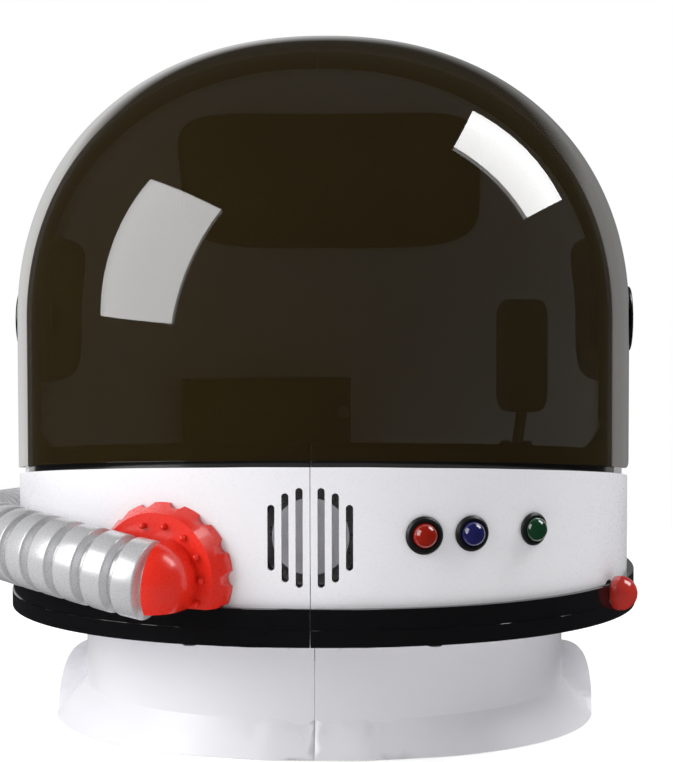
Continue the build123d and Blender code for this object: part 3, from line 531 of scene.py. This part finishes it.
def pivot_seat(side: int) -> Seat:
    """Gives the seat at the middle of the helmet that looks along a pivot."""
    out = np.array([float(side), 0.0, 0.0])
    return Seat(np.array([0.0, 0.0, PIVOT_HEIGHT]), np.array([0.0, side, 0.0]), UP, out)


def rounded(corners: list[Pair], radius: float, steps: int = 4) -> Array:
    """Rounds the inner corners of an open line.

    Each corner becomes the curve (1-s)^2 A + 2s(1-s) C + s^2 B, where C is the corner and A and B lie
    on its two runs, a radius away or less than half the run.

    Args:
        corners: the line's points.
        radius: how far from a corner its rounding starts.
        steps: pieces in each rounding.

    Returns:
        The rounded line's points.
    """
    line = np.array(corners, float)
    before, middle, after = line[:-2], line[1:-1], line[2:]
    share = np.linspace(0, 1, steps + 1)[None, :, None]

    def towards(other: Array) -> Array:
        """Steps from the corners towards their neighbours."""
        run = np.linalg.norm(other - middle, axis=1, keepdims=True)
        return (middle + (other - middle) / run * np.minimum(radius, 0.48 * run))[:, None]

    bends = (
        (1 - share) ** 2 * towards(before)
        + 2 * share * (1 - share) * middle[:, None]
        + share**2 * towards(after)
    )
    return np.concatenate((line[:1], bends.reshape(-1, 2), line[-1:]))


def net(name: str, points: Array, wrap_rows: bool = False) -> Piece:
    """Makes a closed piece from a grid of places, with its poles merged and its faces outwards.

    Its last column meets the first, and so does its last row where the rows wrap, as round a ring.
    """
    rows, columns = points.shape[:2]
    index = np.arange(rows * columns).reshape(rows, columns)
    if wrap_rows:
        index = np.vstack((index, index[:1]))
    index = np.hstack((index, index[:, :1]))
    corners = (index[:-1, :-1], index[1:, :-1], index[1:, 1:], index[:-1, 1:])
    faces = np.stack(corners, -1).reshape(-1, 4)
    mesh = bpy.data.meshes.new(name)
    mesh.from_pydata(((points.reshape(-1, 3) + SHIFT) * MM).tolist(), [], faces.tolist())
    work = bmesh.new()
    work.from_mesh(mesh)
    weld(work)
    bmesh.ops.recalc_face_normals(work, faces=work.faces)
    return close(work, mesh)


def even_shading(piece: Piece) -> None:
    """Lets a piece's large faces decide how its rounded edges are shaded."""
    even = piece.modifiers.new("even shading", "WEIGHTED_NORMAL")
    even.keep_sharp = True
    even.weight = 50


def turned(name: str, seat: Seat, profile: Array, columns: int = 64) -> Piece:
    """Makes a round piece: each (radius, height) of the profile goes round the seat's out direction.

    The profile goes from pole to pole, or is a closed line for a ring.
    """
    turn = around(columns)[None]
    radius, height = profile[:, :1], profile[:, 1:]
    local = np.stack((radius * np.cos(turn), radius * np.sin(turn), height + 0 * turn), -1)
    piece = net(name, seat.place(local), wrap_rows=bool(profile[0, 0] > 0))
    even_shading(piece)
    return piece


@dataclass
class Workshop:
    """The loaded frame, with the finishes, and the steps that every piece goes through."""

    frame: dict[str, object]

    def __post_init__(self) -> None:
        """Makes each finish once."""
        self.materials = {slot: finish.build() for slot, finish in FINISHES.items()}

    def settle(self, piece: Piece, slot: Slot, body: Body, *nodes: str) -> Piece:
        """Dresses a finished piece and sets it on its body, in place of the nodes it stands for."""
        piece.data.materials.clear()
        piece.data.materials.append(self.materials[slot])
        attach(piece, body.value)
        if nodes:
            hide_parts(*nodes)
        LOG.info("%s: %d faces on %s", piece.name, len(piece.data.polygons), body.value)
        return piece

    def repaint(self, slot: Slot, *nodes: str) -> None:
        """Gives nodes of the frame a finish in place of their own plain colour."""
        for node in nodes:
            for place in self.frame["nodes"][node].material_slots:
                place.material = self.materials[slot]
            LOG.info("%s: kept, in %s", node, slot.value)

    def skin(
        self, node: str, slot: Slot, edge: float, walls: tuple[Wall, ...] = (), body: Body = Body.HELMET
    ) -> Piece:
        """Makes a skin over a node: its solid merged, its sharp edges rounded, its walls shaded true.

        Args:
            node: the frame's node.
            slot: its finish.
            edge: how wide each rounded edge is, or 0 for none.
            walls: the walls whose own directions shade it.
            body: the body that it rides on.

        Returns:
            The piece, in place of the node.
        """
        mesh = self.frame["nodes"][node].data.copy()
        mesh.name = node + ".skin"
        work = bmesh.new()
        work.from_mesh(mesh)
        weld(work)
        if walls:
            refine(work, walls)
        else:
            bmesh.ops.dissolve_limit(work, angle_limit=FLAT, verts=work.verts, edges=work.edges)
        if edge:
            sharp = [e for e in work.edges if e.is_manifold and e.calc_face_angle() > SHARP]
            width = {"offset": edge * MM, "offset_type": "OFFSET", "clamp_overlap": True}
            bmesh.ops.bevel(work, geom=sharp, segments=2, profile=0.5, affect="EDGES", **width)
            weld(work)
        piece = close(work, mesh)
        if walls:
            shade_true(piece, walls)
        else:
            even_shading(piece)
        return self.settle(piece, slot, body, node)


def refine(work: bmesh.types.BMesh, walls: tuple[Wall, ...]) -> None:
    """Halves edges until none is over LONGEST_MM, and sets every point that is near a wall on it."""
    for _ in range(HALVINGS):
        long = [edge for edge in work.edges if edge.calc_length() > LONGEST_MM * MM]
        if not long:
            break
        bmesh.ops.subdivide_edges(work, edges=long, cuts=1)
        bmesh.ops.triangulate(work, faces=work.faces)
    places = np.array([point.co for point in work.verts]) / MM - SHIFT
    reads = [wall.read(places) for wall in walls]
    away = np.stack([read[0] for read in reads])
    nearest = np.abs(away).argmin(0)
    picked = np.arange(len(places))
    step = away[nearest, picked, None] * np.stack([read[1] for read in reads])[nearest, picked]
    spread = np.sort(np.abs(away), axis=0)[:2].sum(0)
    near = np.clip(NEAR_SHARE * spread, NEAR_MM, FARTHEST_MM) if len(walls) > 1 else NEAR_MM
    step[np.abs(away[nearest, picked]) > near] = 0
    for point, place in zip(work.verts, (places - step + SHIFT) * MM):
        point.co = place


def read_all(items: bpy.types.bpy_prop_collection, key: str, width: int = 0) -> Array:
    """Reads a property of all items at once: rows of numbers, or whole numbers where width is 0."""
    values = np.empty(len(items) * max(width, 1), np.float32 if width else np.int32)
    items.foreach_get(key, values)
    return values.reshape(-1, width) if width else values


def shade_true(piece: Piece, walls: tuple[Wall, ...]) -> None:
    """Gives the faces that lie on known walls those walls' own directions for shading."""
    even_shading(piece)
    evened = piece.evaluated_get(bpy.context.evaluated_depsgraph_get()).data
    normals = read_all(evened.corner_normals, "vector", 3)
    piece.modifiers.clear()
    mesh = piece.data
    places = read_all(mesh.vertices, "co", 3) / MM - SHIFT
    facing = read_all(mesh.polygons, "normal", 3)
    corner = read_all(mesh.loops, "vertex_index")
    starts = read_all(mesh.polygons, "loop_start")
    counts = read_all(mesh.polygons, "loop_total")
    for wall in walls:
        away, outward = wall.read(places)
        near = np.minimum.reduceat((np.abs(away) < ON_WALL_MM)[corner], starts)
        alike = np.einsum("ij,ij->i", facing, outward[corner[starts]])
        taken = np.repeat(near & (np.abs(alike) > ALIKE), counts)
        way = np.repeat(np.sign(alike), counts)
        normals[taken] = (outward[corner] * way[:, None])[taken]
    mesh.normals_split_custom_set(normals.tolist())


@dataclass
class Dome:
    """The white bell in two halves and the black frame of its face opening."""

    outer: Wall = Wall(132.0, 122.1, True)
    inner: Wall = Wall(129.5, 119.6, True)
    band: Wall = Wall(*BAND)
    band_inner: Wall = Wall(131.7, 128.5)
    edge: float = 0.45
    tongue_width: float = 0.28
    tongue_radii: Pair = (120.2, 121.5)
    tongue_front: float = -44.0
    tongue_foot: float = 105.0

    def make(self, shop: Workshop) -> None:
        """Makes both halves of both pieces, and the tongue in their seam."""
        walls = (self.outer, self.inner, self.band, self.band_inner)
        for _, word in SIDES:
            shop.skin("shell_" + word, Slot.SHELL, self.edge, walls)
            shop.skin("trim_" + word, Slot.TRIM, self.edge, (self.outer, self.inner))
        shop.settle(self.tongue(), Slot.SHELL, Body.HELMET)

    def tongue(self) -> Piece:
        """Makes the thin tongue that keeps light out of the seam.

        Its section goes along an arc of the wall's radius about the pivots, from over the face to
        the back, and then straight down the back.
        """
        start = math.asin(self.tongue_front / self.tongue_radii[0])
        turn = np.linspace(start, math.pi / 2, 60)
        flat = np.column_stack((np.sin(turn), np.cos(turn)))
        rows = []
        for across, radius in zip((-1, 1, 1, -1), np.repeat(self.tongue_radii, 2)):
            arc = np.column_stack((flat[:, 0] * radius, PIVOT_HEIGHT + flat[:, 1] * radius))
            line = np.vstack((arc, (radius, self.tongue_foot)))
            side = np.full((len(line), 1), across * self.tongue_width / 2)
            rows.append(np.hstack((side, line)))
        grid = np.stack(rows, 1)
        ends = [np.repeat(end.mean(0)[None, None], 4, axis=1) for end in (grid[0], grid[-1])]
        return net("seam_tongue", np.concatenate((ends[0], grid, ends[1])))


@dataclass
class Visor:
    """The clear bowl with its pivots: caps outside, washers and screws inside."""

    outer: Wall = Wall(134.9, 125.0, True)
    inner: Wall = Wall(132.9, 123.0, True)
    cap_foot: float = 135.1
    cap_radius: float = 14.5
    cap_thickness: float = 1.2
    cap_bevel: float = 0.6
    shank_radius: float = 4.0
    shank_end: float = 127.7
    screw_room: float = 1.6
    screw_room_depth: float = 5.0
    cap_rounding: float = 0.35
    cap_columns: int = 96
    washer_edge: float = 0.15
    screw_edge: float = 0.2

    def make(self, shop: Workshop) -> None:
        """Makes the bowl, the caps, the washers and the screws."""
        shop.skin("visor", Slot.VISOR, 0, (self.outer, self.inner), Body.VISOR)
        top = self.cap_foot + self.cap_thickness
        room = self.shank_end + self.screw_room_depth
        cap = (self.shank_radius, self.cap_foot, self.cap_radius, top - self.cap_bevel)
        corners = stairs(0, room, self.screw_room, self.shank_end, *cap)
        corners += [(self.cap_radius - self.cap_bevel, top), (0, top)]
        for side, word in SIDES:
            line = rounded(corners, self.cap_rounding)
            cap = turned("pivot_cap_" + word + ".turned", pivot_seat(side), line, self.cap_columns)
            shop.settle(cap, Slot.TRIM, Body.HELMET, "pivot_cap_" + word)
        shop.skin("pivot_washers", Slot.INNER, self.washer_edge)
        shop.skin("pivot_screws", Slot.STEEL, self.screw_edge)


@dataclass
class Belt:
    """The black two-step belt round the bell's foot, with the screws under it."""

    edge: float = 0.6
    screw_edge: float = 0.2
    sizes: tuple[Pair, ...] = ((137.8, 134.5), (137.2, 133.9), (134.4, 131.2), (121.7, 118.5))

    def make(self, shop: Workshop) -> None:
        """Makes both halves and the screws."""
        walls = tuple(Wall(*size) for size in self.sizes)
        for _, word in SIDES:
            shop.skin("rim_" + word, Slot.RIM, self.edge, walls)
        shop.skin("rim_screws", Slot.STEEL, self.screw_edge)


@dataclass
class Collar:
    """The white neck with its flared skirt, shoulder arches, flange and front tab."""

    edge: float = 0.5
    walls: tuple[Wall, ...] = (Wall(106, 97), Wall(103.5, 94.5), Wall(131.5, 128.3))

    def make(self, shop: Workshop) -> None:
        """Makes both halves."""
        for _, word in SIDES:
            shop.skin("collar_" + word, Slot.COLLAR, self.edge, self.walls)


@dataclass
class HoseLine:
    """The ribbed silver hose and its two red fittings, round the left side to the back."""

    outline: Pair = (150.5, 147.3)
    start_turn: float = -22.2
    end_turn: float = -150.0
    low: float = 76.7
    climb: float = 8.5
    rise_power: float = 1.3
    fall_power: float = 3.5
    inset: float = 0.5
    radius: float = 15.3
    groove_radius: float = 12.0
    bore_radius: float = 10.8
    ribs: int = 27
    groove_share: float = 0.17
    flank_share: float = 0.09
    rounding: float = 0.6
    columns: int = 56
    steps: int = 401
    fitting_edge: float = 0.7

    def trace(self) -> tuple[Array, Array]:
        """Traces the middle line.

        The line follows its outline from the first turn to the last at an even rate, and its height is
        low + climb * (share / peak)^rise * ((1 - share) / (1 - peak))^fall, with peak = rise / (rise +
        fall).

        Returns how far along the line its places lie, and the places.
        """
        share = np.linspace(0, 1, self.steps)
        turn = np.radians(self.start_turn + share * (self.end_turn - self.start_turn))
        flat = on_outline(turn, *self.outline)
        peak = self.rise_power / (self.rise_power + self.fall_power)
        hump = (share / peak) ** self.rise_power * ((1 - share) / (1 - peak)) ** self.fall_power
        line = np.column_stack((flat, self.low + self.climb * hump))
        return np.concatenate(([0], np.cumsum(np.linalg.norm(np.diff(line, axis=0), axis=1)))), line

    def path(self, lengths: Array) -> Array:
        """Finds the places that lie some lengths along the middle line."""
        run, line = self.trace()
        return np.column_stack([np.interp(lengths, run, line[:, axis]) for axis in range(3)])

    def profile(self) -> Array:
        """Gives the hose's wall as lengths along it and radii: ribs outside, then the plain bore."""
        run = self.trace()[0][-1] - 2 * self.inset
        pitch = run / (self.ribs + self.groove_share)
        shares = (0.0, self.groove_share, self.groove_share + self.flank_share, 1 - self.flank_share)
        radii = (self.groove_radius, self.groove_radius, self.radius, self.radius)
        corners = [
            (self.inset + (rib + share) * pitch, radius)
            for rib in range(self.ribs)
            for share, radius in zip(shares, radii)
        ]
        end = self.inset + run
        corners += [(end - self.groove_share * pitch, self.groove_radius), (end, self.groove_radius)]
        corners = [(self.inset, self.bore_radius)] + corners + [(end, self.bore_radius)]
        inside = np.linspace(end, self.inset, 2 * self.ribs + 2)[1:-1]
        bore = np.column_stack((inside, 0 * inside + self.bore_radius))
        return np.concatenate((rounded(corners, self.rounding), bore))

    def make(self, shop: Workshop) -> None:
        """Makes the hose and its fittings."""
        profile = self.profile()
        lengths, radii = profile[:, 0], profile[:, 1]
        path = self.path(lengths)
        ahead = unit(self.path(lengths + 0.5) - self.path(lengths - 0.5))
        side = unit(np.cross(UP, ahead))
        top = np.cross(ahead, side)
        turn = around(self.columns)[None, :, None]
        circle = np.cos(turn) * side[:, None] + np.sin(turn) * top[:, None]
        hose = net("hose.ribbed", path[:, None] + radii[:, None, None] * circle, wrap_rows=True)
        shop.settle(hose, Slot.HOSE, Body.HELMET, "hose")
        for end in ("front", "rear"):
            shop.skin("hose_connector_" + end, Slot.FITTING, self.fitting_edge)


@dataclass(frozen=True)
class Coil:
    """A spring's radius, the heights of its first and last turn, and how far its button goes in."""

    radius: float
    low: float
    high: float
    travel: float


@dataclass
class Controls:
    """Three push buttons in black rings, the ball button on the belt, and their springs."""

    height: float = 93.0
    turns: tuple[float, ...] = (19.0, 27.3, 39.4)
    ring_radii: tuple[float, ...] = (7.4, 6.95, 6.45)
    bore: float = 5.1
    barrel_radius: float = 5.9
    barrel_end: float = -4.9
    ring_foot: float = 0.2
    ring_height: float = 2.0
    ring_bevel: float = 0.9
    button_radius: float = 4.9
    dome_base: float = 1.2
    flange_radius: float = 6.2
    flange: Pair = (-6.5, -5.1)
    ball_turn: float = 62.0
    ball_height: float = 61.6
    ball_radius: float = 7.2
    ball_middle: float = 5.0
    ball_foot: float = 3.0
    stem_radius: float = 2.0
    stem_flange: Triple = (3.0, -3.5, -2.5)
    ring_rounding: float = 0.25
    foot_rounding: float = 0.2
    socket_edge: float = 0.2
    wire: float = 0.3
    coils: int = 4
    coil_steps: int = 40
    wire_columns: int = 10
    button_spring: Coil = Coil(3.2, -11.3, -7.0, 1.5)
    ball_spring: Coil = Coil(2.4, -10.5, -4.0, 1.0)

    def spring(self, shop: Workshop, node: str, seat: Seat, coil: Coil) -> None:
        """Makes a coil spring: a circle of wire along a helix.

        Args:
            shop: the workshop.
            node: the spring's node.
            seat: where it stands.
            coil: its measures.
        """
        low, high = coil.low, coil.high
        share = np.linspace(0, 1, self.coil_steps * self.coils)
        turn = 2 * math.pi * self.coils * share
        path = seat.place(np.column_stack((arc(coil.radius, 0, turn), low + (high - low) * share)))
        ahead = unit(np.gradient(path, axis=0))
        outward = np.column_stack((arc(1, 0, turn), 0 * turn)) @ seat.axes()
        third = np.cross(ahead, outward)
        angle = around(self.wire_columns)[None, :, None]
        ring = np.cos(angle) * outward[:, None] + np.sin(angle) * third[:, None]
        body = path[:, None] + self.wire * ring
        ends = np.repeat(path[[0, -1]][:, None], ring.shape[1], axis=1)
        grid = np.concatenate((ends[:1], body, ends[1:]))
        piece = shop.settle(net(node + ".wound", grid), Slot.STEEL, Body.HELMET, node)
        foot = (seat.place(np.array([[0, 0, low]]))[0] + SHIFT) * MM
        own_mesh(piece)

    def make(self, shop: Workshop) -> None:
        """Makes the buttons, rings, ball and springs."""
        kinds = ((Slot.RED, Body.RED), (Slot.BLUE, Body.BLUE), (Slot.GREEN, Body.GREEN))
        for turn, ring_radius, (slot, body) in zip(self.turns, self.ring_radii, kinds):
            seat = seat_on(turn, self.height)
            word = body.value.split("_")[0]
            shop.settle(self.ring(seat, word, ring_radius), Slot.INNER, Body.HELMET, "button_ring_" + word)
            shop.settle(self.button(seat, word), slot, body, "button_" + word)
            self.spring(shop, "button_spring_" + word, seat, self.button_spring)
        seat = seat_on(self.ball_turn, self.ball_height)
        shop.settle(self.ball(seat), Slot.BALL, Body.BALL, "ball_button")
        self.spring(shop, "ball_spring", seat, self.ball_spring)
        shop.skin("ball_socket", Slot.INNER, self.socket_edge)

    def ring(self, seat: Seat, word: str, radius: float) -> Piece:
        """Makes a button's black ring as one closed profile with rounded corners."""
        bevel, top = self.ring_bevel, self.ring_height
        corners = stairs(self.bore, self.barrel_end, self.barrel_radius, self.ring_foot, radius, top - bevel)
        corners += [(radius - bevel, top), (self.bore, top)]
        line = rounded([corners[-1]] + corners + [corners[0]], self.ring_rounding)[1:-1]
        return turned("button_ring_" + word + ".turned", seat, line)

    def button(self, seat: Seat, word: str) -> Piece:
        """Makes a domed button: its height over the base is sqrt(radius^2 - r^2)."""
        dome = arc(self.button_radius, self.dome_base, np.linspace(0, math.pi / 2, 14))
        low, high = self.flange
        corners = stairs(0, low, self.flange_radius, high, self.button_radius, self.dome_base)
        foot = rounded(corners, self.foot_rounding)
        return turned("button_" + word + ".turned", seat, np.concatenate((foot[:-1], dome)))

    def ball(self, seat: Seat) -> Piece:
        """Makes the ball on its stem: radius sqrt(ball radius^2 - height^2) above its flat foot."""
        drop = math.asin((self.ball_foot - self.ball_middle) / self.ball_radius)
        sphere = arc(self.ball_radius, self.ball_middle, np.linspace(drop, math.pi / 2, 26))
        radius, low, high = self.stem_flange
        corners = stairs(0, low, radius, high, self.stem_radius, self.ball_foot, sphere[0, 0])
        stem = rounded(corners, self.foot_rounding)
        return turned("ball_button.turned", seat, np.concatenate((stem[:-1], sphere)))


@dataclass
class Microphone:
    """The small foam-covered microphone on its hinged stalk."""

    middle: Triple = (84.0, -71.0, 160.0)
    radius: float = 10.5
    length: float = 46.0
    rounding: float = 8.5
    edges: Triple = (0.3, 0.4, 0.2)  # of the stalk, its base and its pin

    def make(self, shop: Workshop) -> None:
        """Makes the foam and dresses the stalk and its hinge."""
        half = self.length / 2
        line = rounded(stairs(0, -half, self.radius, half, 0), self.rounding, 12)
        seat = Seat(np.array(self.middle), np.array([1.0, 0, 0]), np.array([0, 1.0, 0]), UP)
        foam = turned("mic_foam", seat, line, 56)
        shop.settle(foam, Slot.FOAM, Body.MICROPHONE, "mic_capsule")
        stalk, base, pin = self.edges
        shop.skin("mic_stalk", Slot.INNER, stalk, body=Body.MICROPHONE)
        shop.skin("mic_base", Slot.INNER, base)
        shop.skin("mic_pin", Slot.STEEL, pin)


@dataclass
class Padding:
    """Black foam pads on the inside of the dome."""

    wall: Wall = Wall(129.1, 119.2, True)
    crown: Quad = (-73.0, 73.0, 209.0, 272.0)
    crown_thickness: float = 11.0
    side: Quad = (-38.0, 42.0, 146.0, 212.0)
    side_thickness: float = 9.0
    hem: float = 1.5  # thickness of the sewn-down edge
    hole_radius: float = 13.2
    squareness: float = 5.0  # exponent of a pad's outline
    columns: int = 160
    rows: int = 14
    crowding: float = 0.7  # below 1, rows lie closer together towards the crown pad's edge

    def rim(self, box: Quad) -> Array:
        """Gives a pad's outline on its flat pattern: |u|^e + |v|^e = 1, stretched to its box."""
        circle = arc(1, 0, around(self.columns))
        reach = (np.abs(circle) ** self.squareness).sum(1, keepdims=True) ** (-1 / self.squareness)
        low, high = np.array(box).reshape(2, 2).T
        return (low + high) / 2 + (high - low) / 2 * (reach * circle)

    def pad(self, name: str, flat: Array, side: int, thickness: float) -> Piece:
        """Makes a crowned pad that lies on the dome.

        A place on the pattern goes straight out to the wall. The back stays on the wall, and the front
        leaves it by hem + (thickness - hem) * (1 - s^4)^(1/2). s runs from 0 to 1 from the crown pad's
        middle to its rim, and from -1 to 1 from the edge of a side pad's hole to its rim.

        Args:
            name: the pad's name.
            flat: places on the pattern, as rows from its middle or hole to its rim, by columns, by two.
            side: 0 for the crown, else the side that it lies on.
            thickness: how thick its crown is.
        """
        share = np.linspace(0, 1, flat.shape[0])[:, None]
        swell = np.sqrt(1 - (np.abs(2 * share - 1) if side else share) ** 4)
        back = self.on_wall(flat, side)
        outward = self.wall.read(back.reshape(-1, 3))[1].reshape(back.shape)
        front = back - outward * (self.hem + (thickness - self.hem) * swell)[..., None]
        return net(name, np.concatenate((back, front[::-1])), wrap_rows=side != 0)

    def on_wall(self, flat: Array, side: int) -> Array:
        """Sends a flat pattern to the wall: along +Y for the crown (x, z), else along X (y, z)."""
        level, z = flat[..., 0], flat[..., 1]
        width, depth = self.wall.half_width, self.wall.half_depth
        if side:
            out = np.hypot(level, np.maximum(z - PIVOT_HEIGHT, 0))
            x = side * width * (1 - (out / depth) ** FULLNESS) ** (1 / FULLNESS)
            return np.stack((x, level, z), -1)
        out = depth * (1 - np.abs(level / width) ** FULLNESS) ** (1 / FULLNESS)
        return np.stack((level, np.sqrt(out**2 - (z - PIVOT_HEIGHT) ** 2), z), -1)

    def make(self, shop: Workshop) -> None:
        """Makes the crown pad and the two side pads."""
        share = np.linspace(0, 1, self.rows)[:, None, None] ** self.crowding
        rim = self.rim(self.crown)
        middle = rim.mean(0)
        flat = middle + share * (rim - middle)
        pad = self.pad("crown_pad.foam", flat, 0, self.crown_thickness)
        shop.settle(pad, Slot.FOAM, Body.HELMET, "crown_pad")
        rim = self.rim(self.side)
        hole = arc(self.hole_radius, PIVOT_HEIGHT, around(self.columns))
        even = (1 - np.cos(math.pi * np.linspace(0, 1, 2 * self.rows)[:, None, None])) / 2
        flat = hole + even * (rim - hole)
        for side, word in SIDES:
            pad = self.pad(f"side_pad_{word}.foam", flat, side, self.side_thickness)
            shop.settle(pad, Slot.FOAM, Body.HELMET, "side_pad_" + word)


@dataclass
class Electronics:
    """What the chin band and the back hide: speaker, boards, batteries and switch."""

    edge: float = 0.3
    speaker_edge: float = 0.1
    battery_edge: float = 0.4

    def make(self, shop: Workshop) -> None:
        """Dresses the hidden pieces."""
        shop.skin("chin_cover", Slot.INNER_WHITE, self.edge)
        for node in ("battery_box", "battery_cover", "power_switch_body"):
            shop.skin(node, Slot.INNER, self.edge)
        shop.skin("power_switch_knob", Slot.INNER, self.edge, body=Body.SWITCH)
        shop.skin("speaker_frame", Slot.STEEL, self.speaker_edge)
        shop.skin("speaker_cone", Slot.CONE, 0)
        shop.skin("speaker_magnet", Slot.STEEL, self.edge)
        shop.skin("batteries", Slot.JACKET, self.battery_edge)
        shop.repaint(Slot.STEEL, "battery_contacts", "battery_cover_screw")
        shop.repaint(Slot.BOARD, "button_board", "sound_board")
        shop.repaint(Slot.CHIP, "sound_chip")


@dataclass(frozen=True)
class Softbox:
    """A flat studio lamp that faces a point of the visor."""

    name: str
    middle: Triple
    across: Triple
    aim: Triple
    width: float
    height: float
    radiance: float

    def build(self) -> None:
        """Makes the lamp: its power is radiance * pi * area."""
        data = bpy.data.lights.new(self.name, "AREA")
        data.shape = "RECTANGLE"
        data.size, data.size_y = self.width * MM, self.height * MM
        data.energy = self.radiance * math.pi * data.size * data.size_y
        back = unit(np.array(self.middle, float) - np.array(self.aim))
        across = np.array(self.across)
        across = unit(across - back * (across @ back))
        turn_to(stand(self.name, data), np.array(self.middle), across, np.cross(back, across), back)


@dataclass
class Studio:
    """The camera, the lamps, the pale floor and the white surroundings."""

    focal: float = 1876.0  # in pixels of a picture 762 high
    picture_height: float = 762.0
    sensor: float = 24.0
    distance: float = 841.0
    camera_height: float = 184.8
    yaw: float = 2.4
    pitch: float = 2.62
    aim: float = 0.379
    roll: float = 0.134
    daylight: float = 0.5
    right_share: float = 0.36  # brightness of the sheets behind, right against left
    sheet_edge: Pair = (0.64, 0.655)  # where those sheets end, as a share of straight back
    sheet_top: Pair = (0.3, 0.5)
    darkest: float = 0.02
    floor_size: float = 850.0
    floor_drop: float = 0.2
    fade: Pair = (0.25, 0.7)  # in metres from the middle
    lift: float = 0.45
    lamps: tuple[Softbox, ...] = (
        Softbox(
            "left softbox", (-929, -626, 629), (0.484, -0.872, -0.071), (-59, -108, 197), 722, 978, 5.0
        ),
        Softbox(
            "right softbox", (912, 108, 1088), (0.706, -0.001, -0.708), (76, -84, 235), 692, 582, 8.0
        ),
    )

    def camera(self) -> None:
        """Sets the camera where the photograph was taken from."""
        yaw, pitch, aim, roll = (math.radians(v) for v in (self.yaw, self.pitch, self.aim, self.roll))
        away = self.distance
        place = np.array([away * math.sin(yaw), -away * math.cos(yaw), self.camera_height])
        turn = Matrix.Rotation(yaw - aim, 3, "Z") @ Matrix.Rotation(math.pi / 2 - pitch, 3, "X")
        turn = turn @ Matrix.Rotation(-roll, 3, "Z")
        data = bpy.data.cameras.new("camera")
        data.sensor_fit = "VERTICAL"
        data.sensor_height = self.sensor
        data.lens = self.sensor * self.focal / self.picture_height
        data.clip_start, data.clip_end = 0.01, 50.0
        bpy.context.scene.camera = stand("camera", data)
        turn_to(bpy.context.scene.camera, place, *np.array(turn).T)

    def surroundings(self) -> None:
        """Makes the world: white to look at, a dim room for light, and dark in front for reflections."""
        world = bpy.data.worlds.new("white room")
        graph = Graph(world, "Generated")
        x, y, z = (graph.add("SeparateXYZ", axis, {"Vector": graph.place}) for axis in "XYZ")
        sides = graph.remap(x, 1.0, self.right_share, (-0.1, 0.1))
        behind = graph.remap(graph.maths("MULTIPLY_ADD", sides, -0.1, y), 0.0, 1.0, self.sheet_edge)
        even = graph.remap(y, 1.2, 0.5, (0.74, 0.99))
        level = graph.remap(graph.maths("ABSOLUTE", z), 1.0, 0.0, self.sheet_top)
        gleam = graph.maths("MAXIMUM", graph.times(behind, level, sides, even), self.darkest)
        seen = graph.maths("MAXIMUM", graph.rays("Camera"), graph.rays("Transmission"))
        slant = graph.remap(x, 1.35, 0.6, (-1.0, 1.0))
        light, mirrored, white = (
            graph.add("Background", "Background", {"Color": colour, "Strength": strength})
            for colour, strength in ((slant, self.daylight), (gleam, 1.0), ((1, 1, 1, 1), 1.0))
        )
        room = graph.either(graph.rays("Glossy"), light, mirrored)
        graph.end("OutputWorld", graph.either(seen, room, white))
        bpy.context.scene.world = world

    def floor(self) -> None:
        """Makes the pale floor, which fades to the white of the room a little way from the helmet."""
        size = self.floor_size
        ring = ((-size, -size), (size, -size), (size, size), (-size, size))
        mesh = bpy.data.meshes.new("floor")
        mesh.from_pydata([(x * MM, y * MM, -self.floor_drop * MM) for x, y in ring], [], [(0, 1, 2, 3)])
        floor = stand("floor", mesh)
        material = bpy.data.materials.new("matt white paper")
        graph = Graph(material, "Object")
        tint = graph.tint(graph.noise(3.0, 3.0), "#f1f1f1", "#f5f5f5")
        away = graph.add("VectorMath", "Value", {"operation": "LENGTH", 0: graph.place})
        camera = graph.rays("Camera")
        fade = graph.times(graph.remap(away, 0.0, 1.0, self.fade), camera)
        paper = graph.add("BsdfDiffuse", "BSDF", {"Color": tint})
        lift = graph.times(camera, self.lift)
        glow = graph.add("Emission", "Emission", {"Strength": lift})
        near = graph.add("AddShader", "Shader", {0: paper, 1: glow})
        white = graph.add("Emission", "Emission")
        dim = graph.add("BsdfDiffuse", "BSDF", {"Color": linear("#2c2b2d")})
        whole = graph.either(fade, near, white)
        graph.end("OutputMaterial", graph.either(graph.rays("Glossy"), whole, dim))
        mesh.materials.append(material)

    def make(self) -> None:
        """Makes the studio."""
        self.camera()
        self.surroundings()
        for lamp in self.lamps:
            lamp.build()
        self.floor()
        bpy.context.scene.view_settings.view_transform = "Standard"


def main() -> None:
    """Builds the studio and the helmet round the frame."""
    logging.basicConfig(level=logging.INFO, format="%(message)s")
    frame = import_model()
    Studio().make()
    shop = Workshop(frame)
    for part in (Dome(), Visor(), Belt(), Collar(), HoseLine(), Controls(), Microphone(), Padding()):
        part.make(shop)
        LOG.info("made the %s", type(part).__name__)
    Electronics().make(shop)


if __name__ == "__main__":
    main()
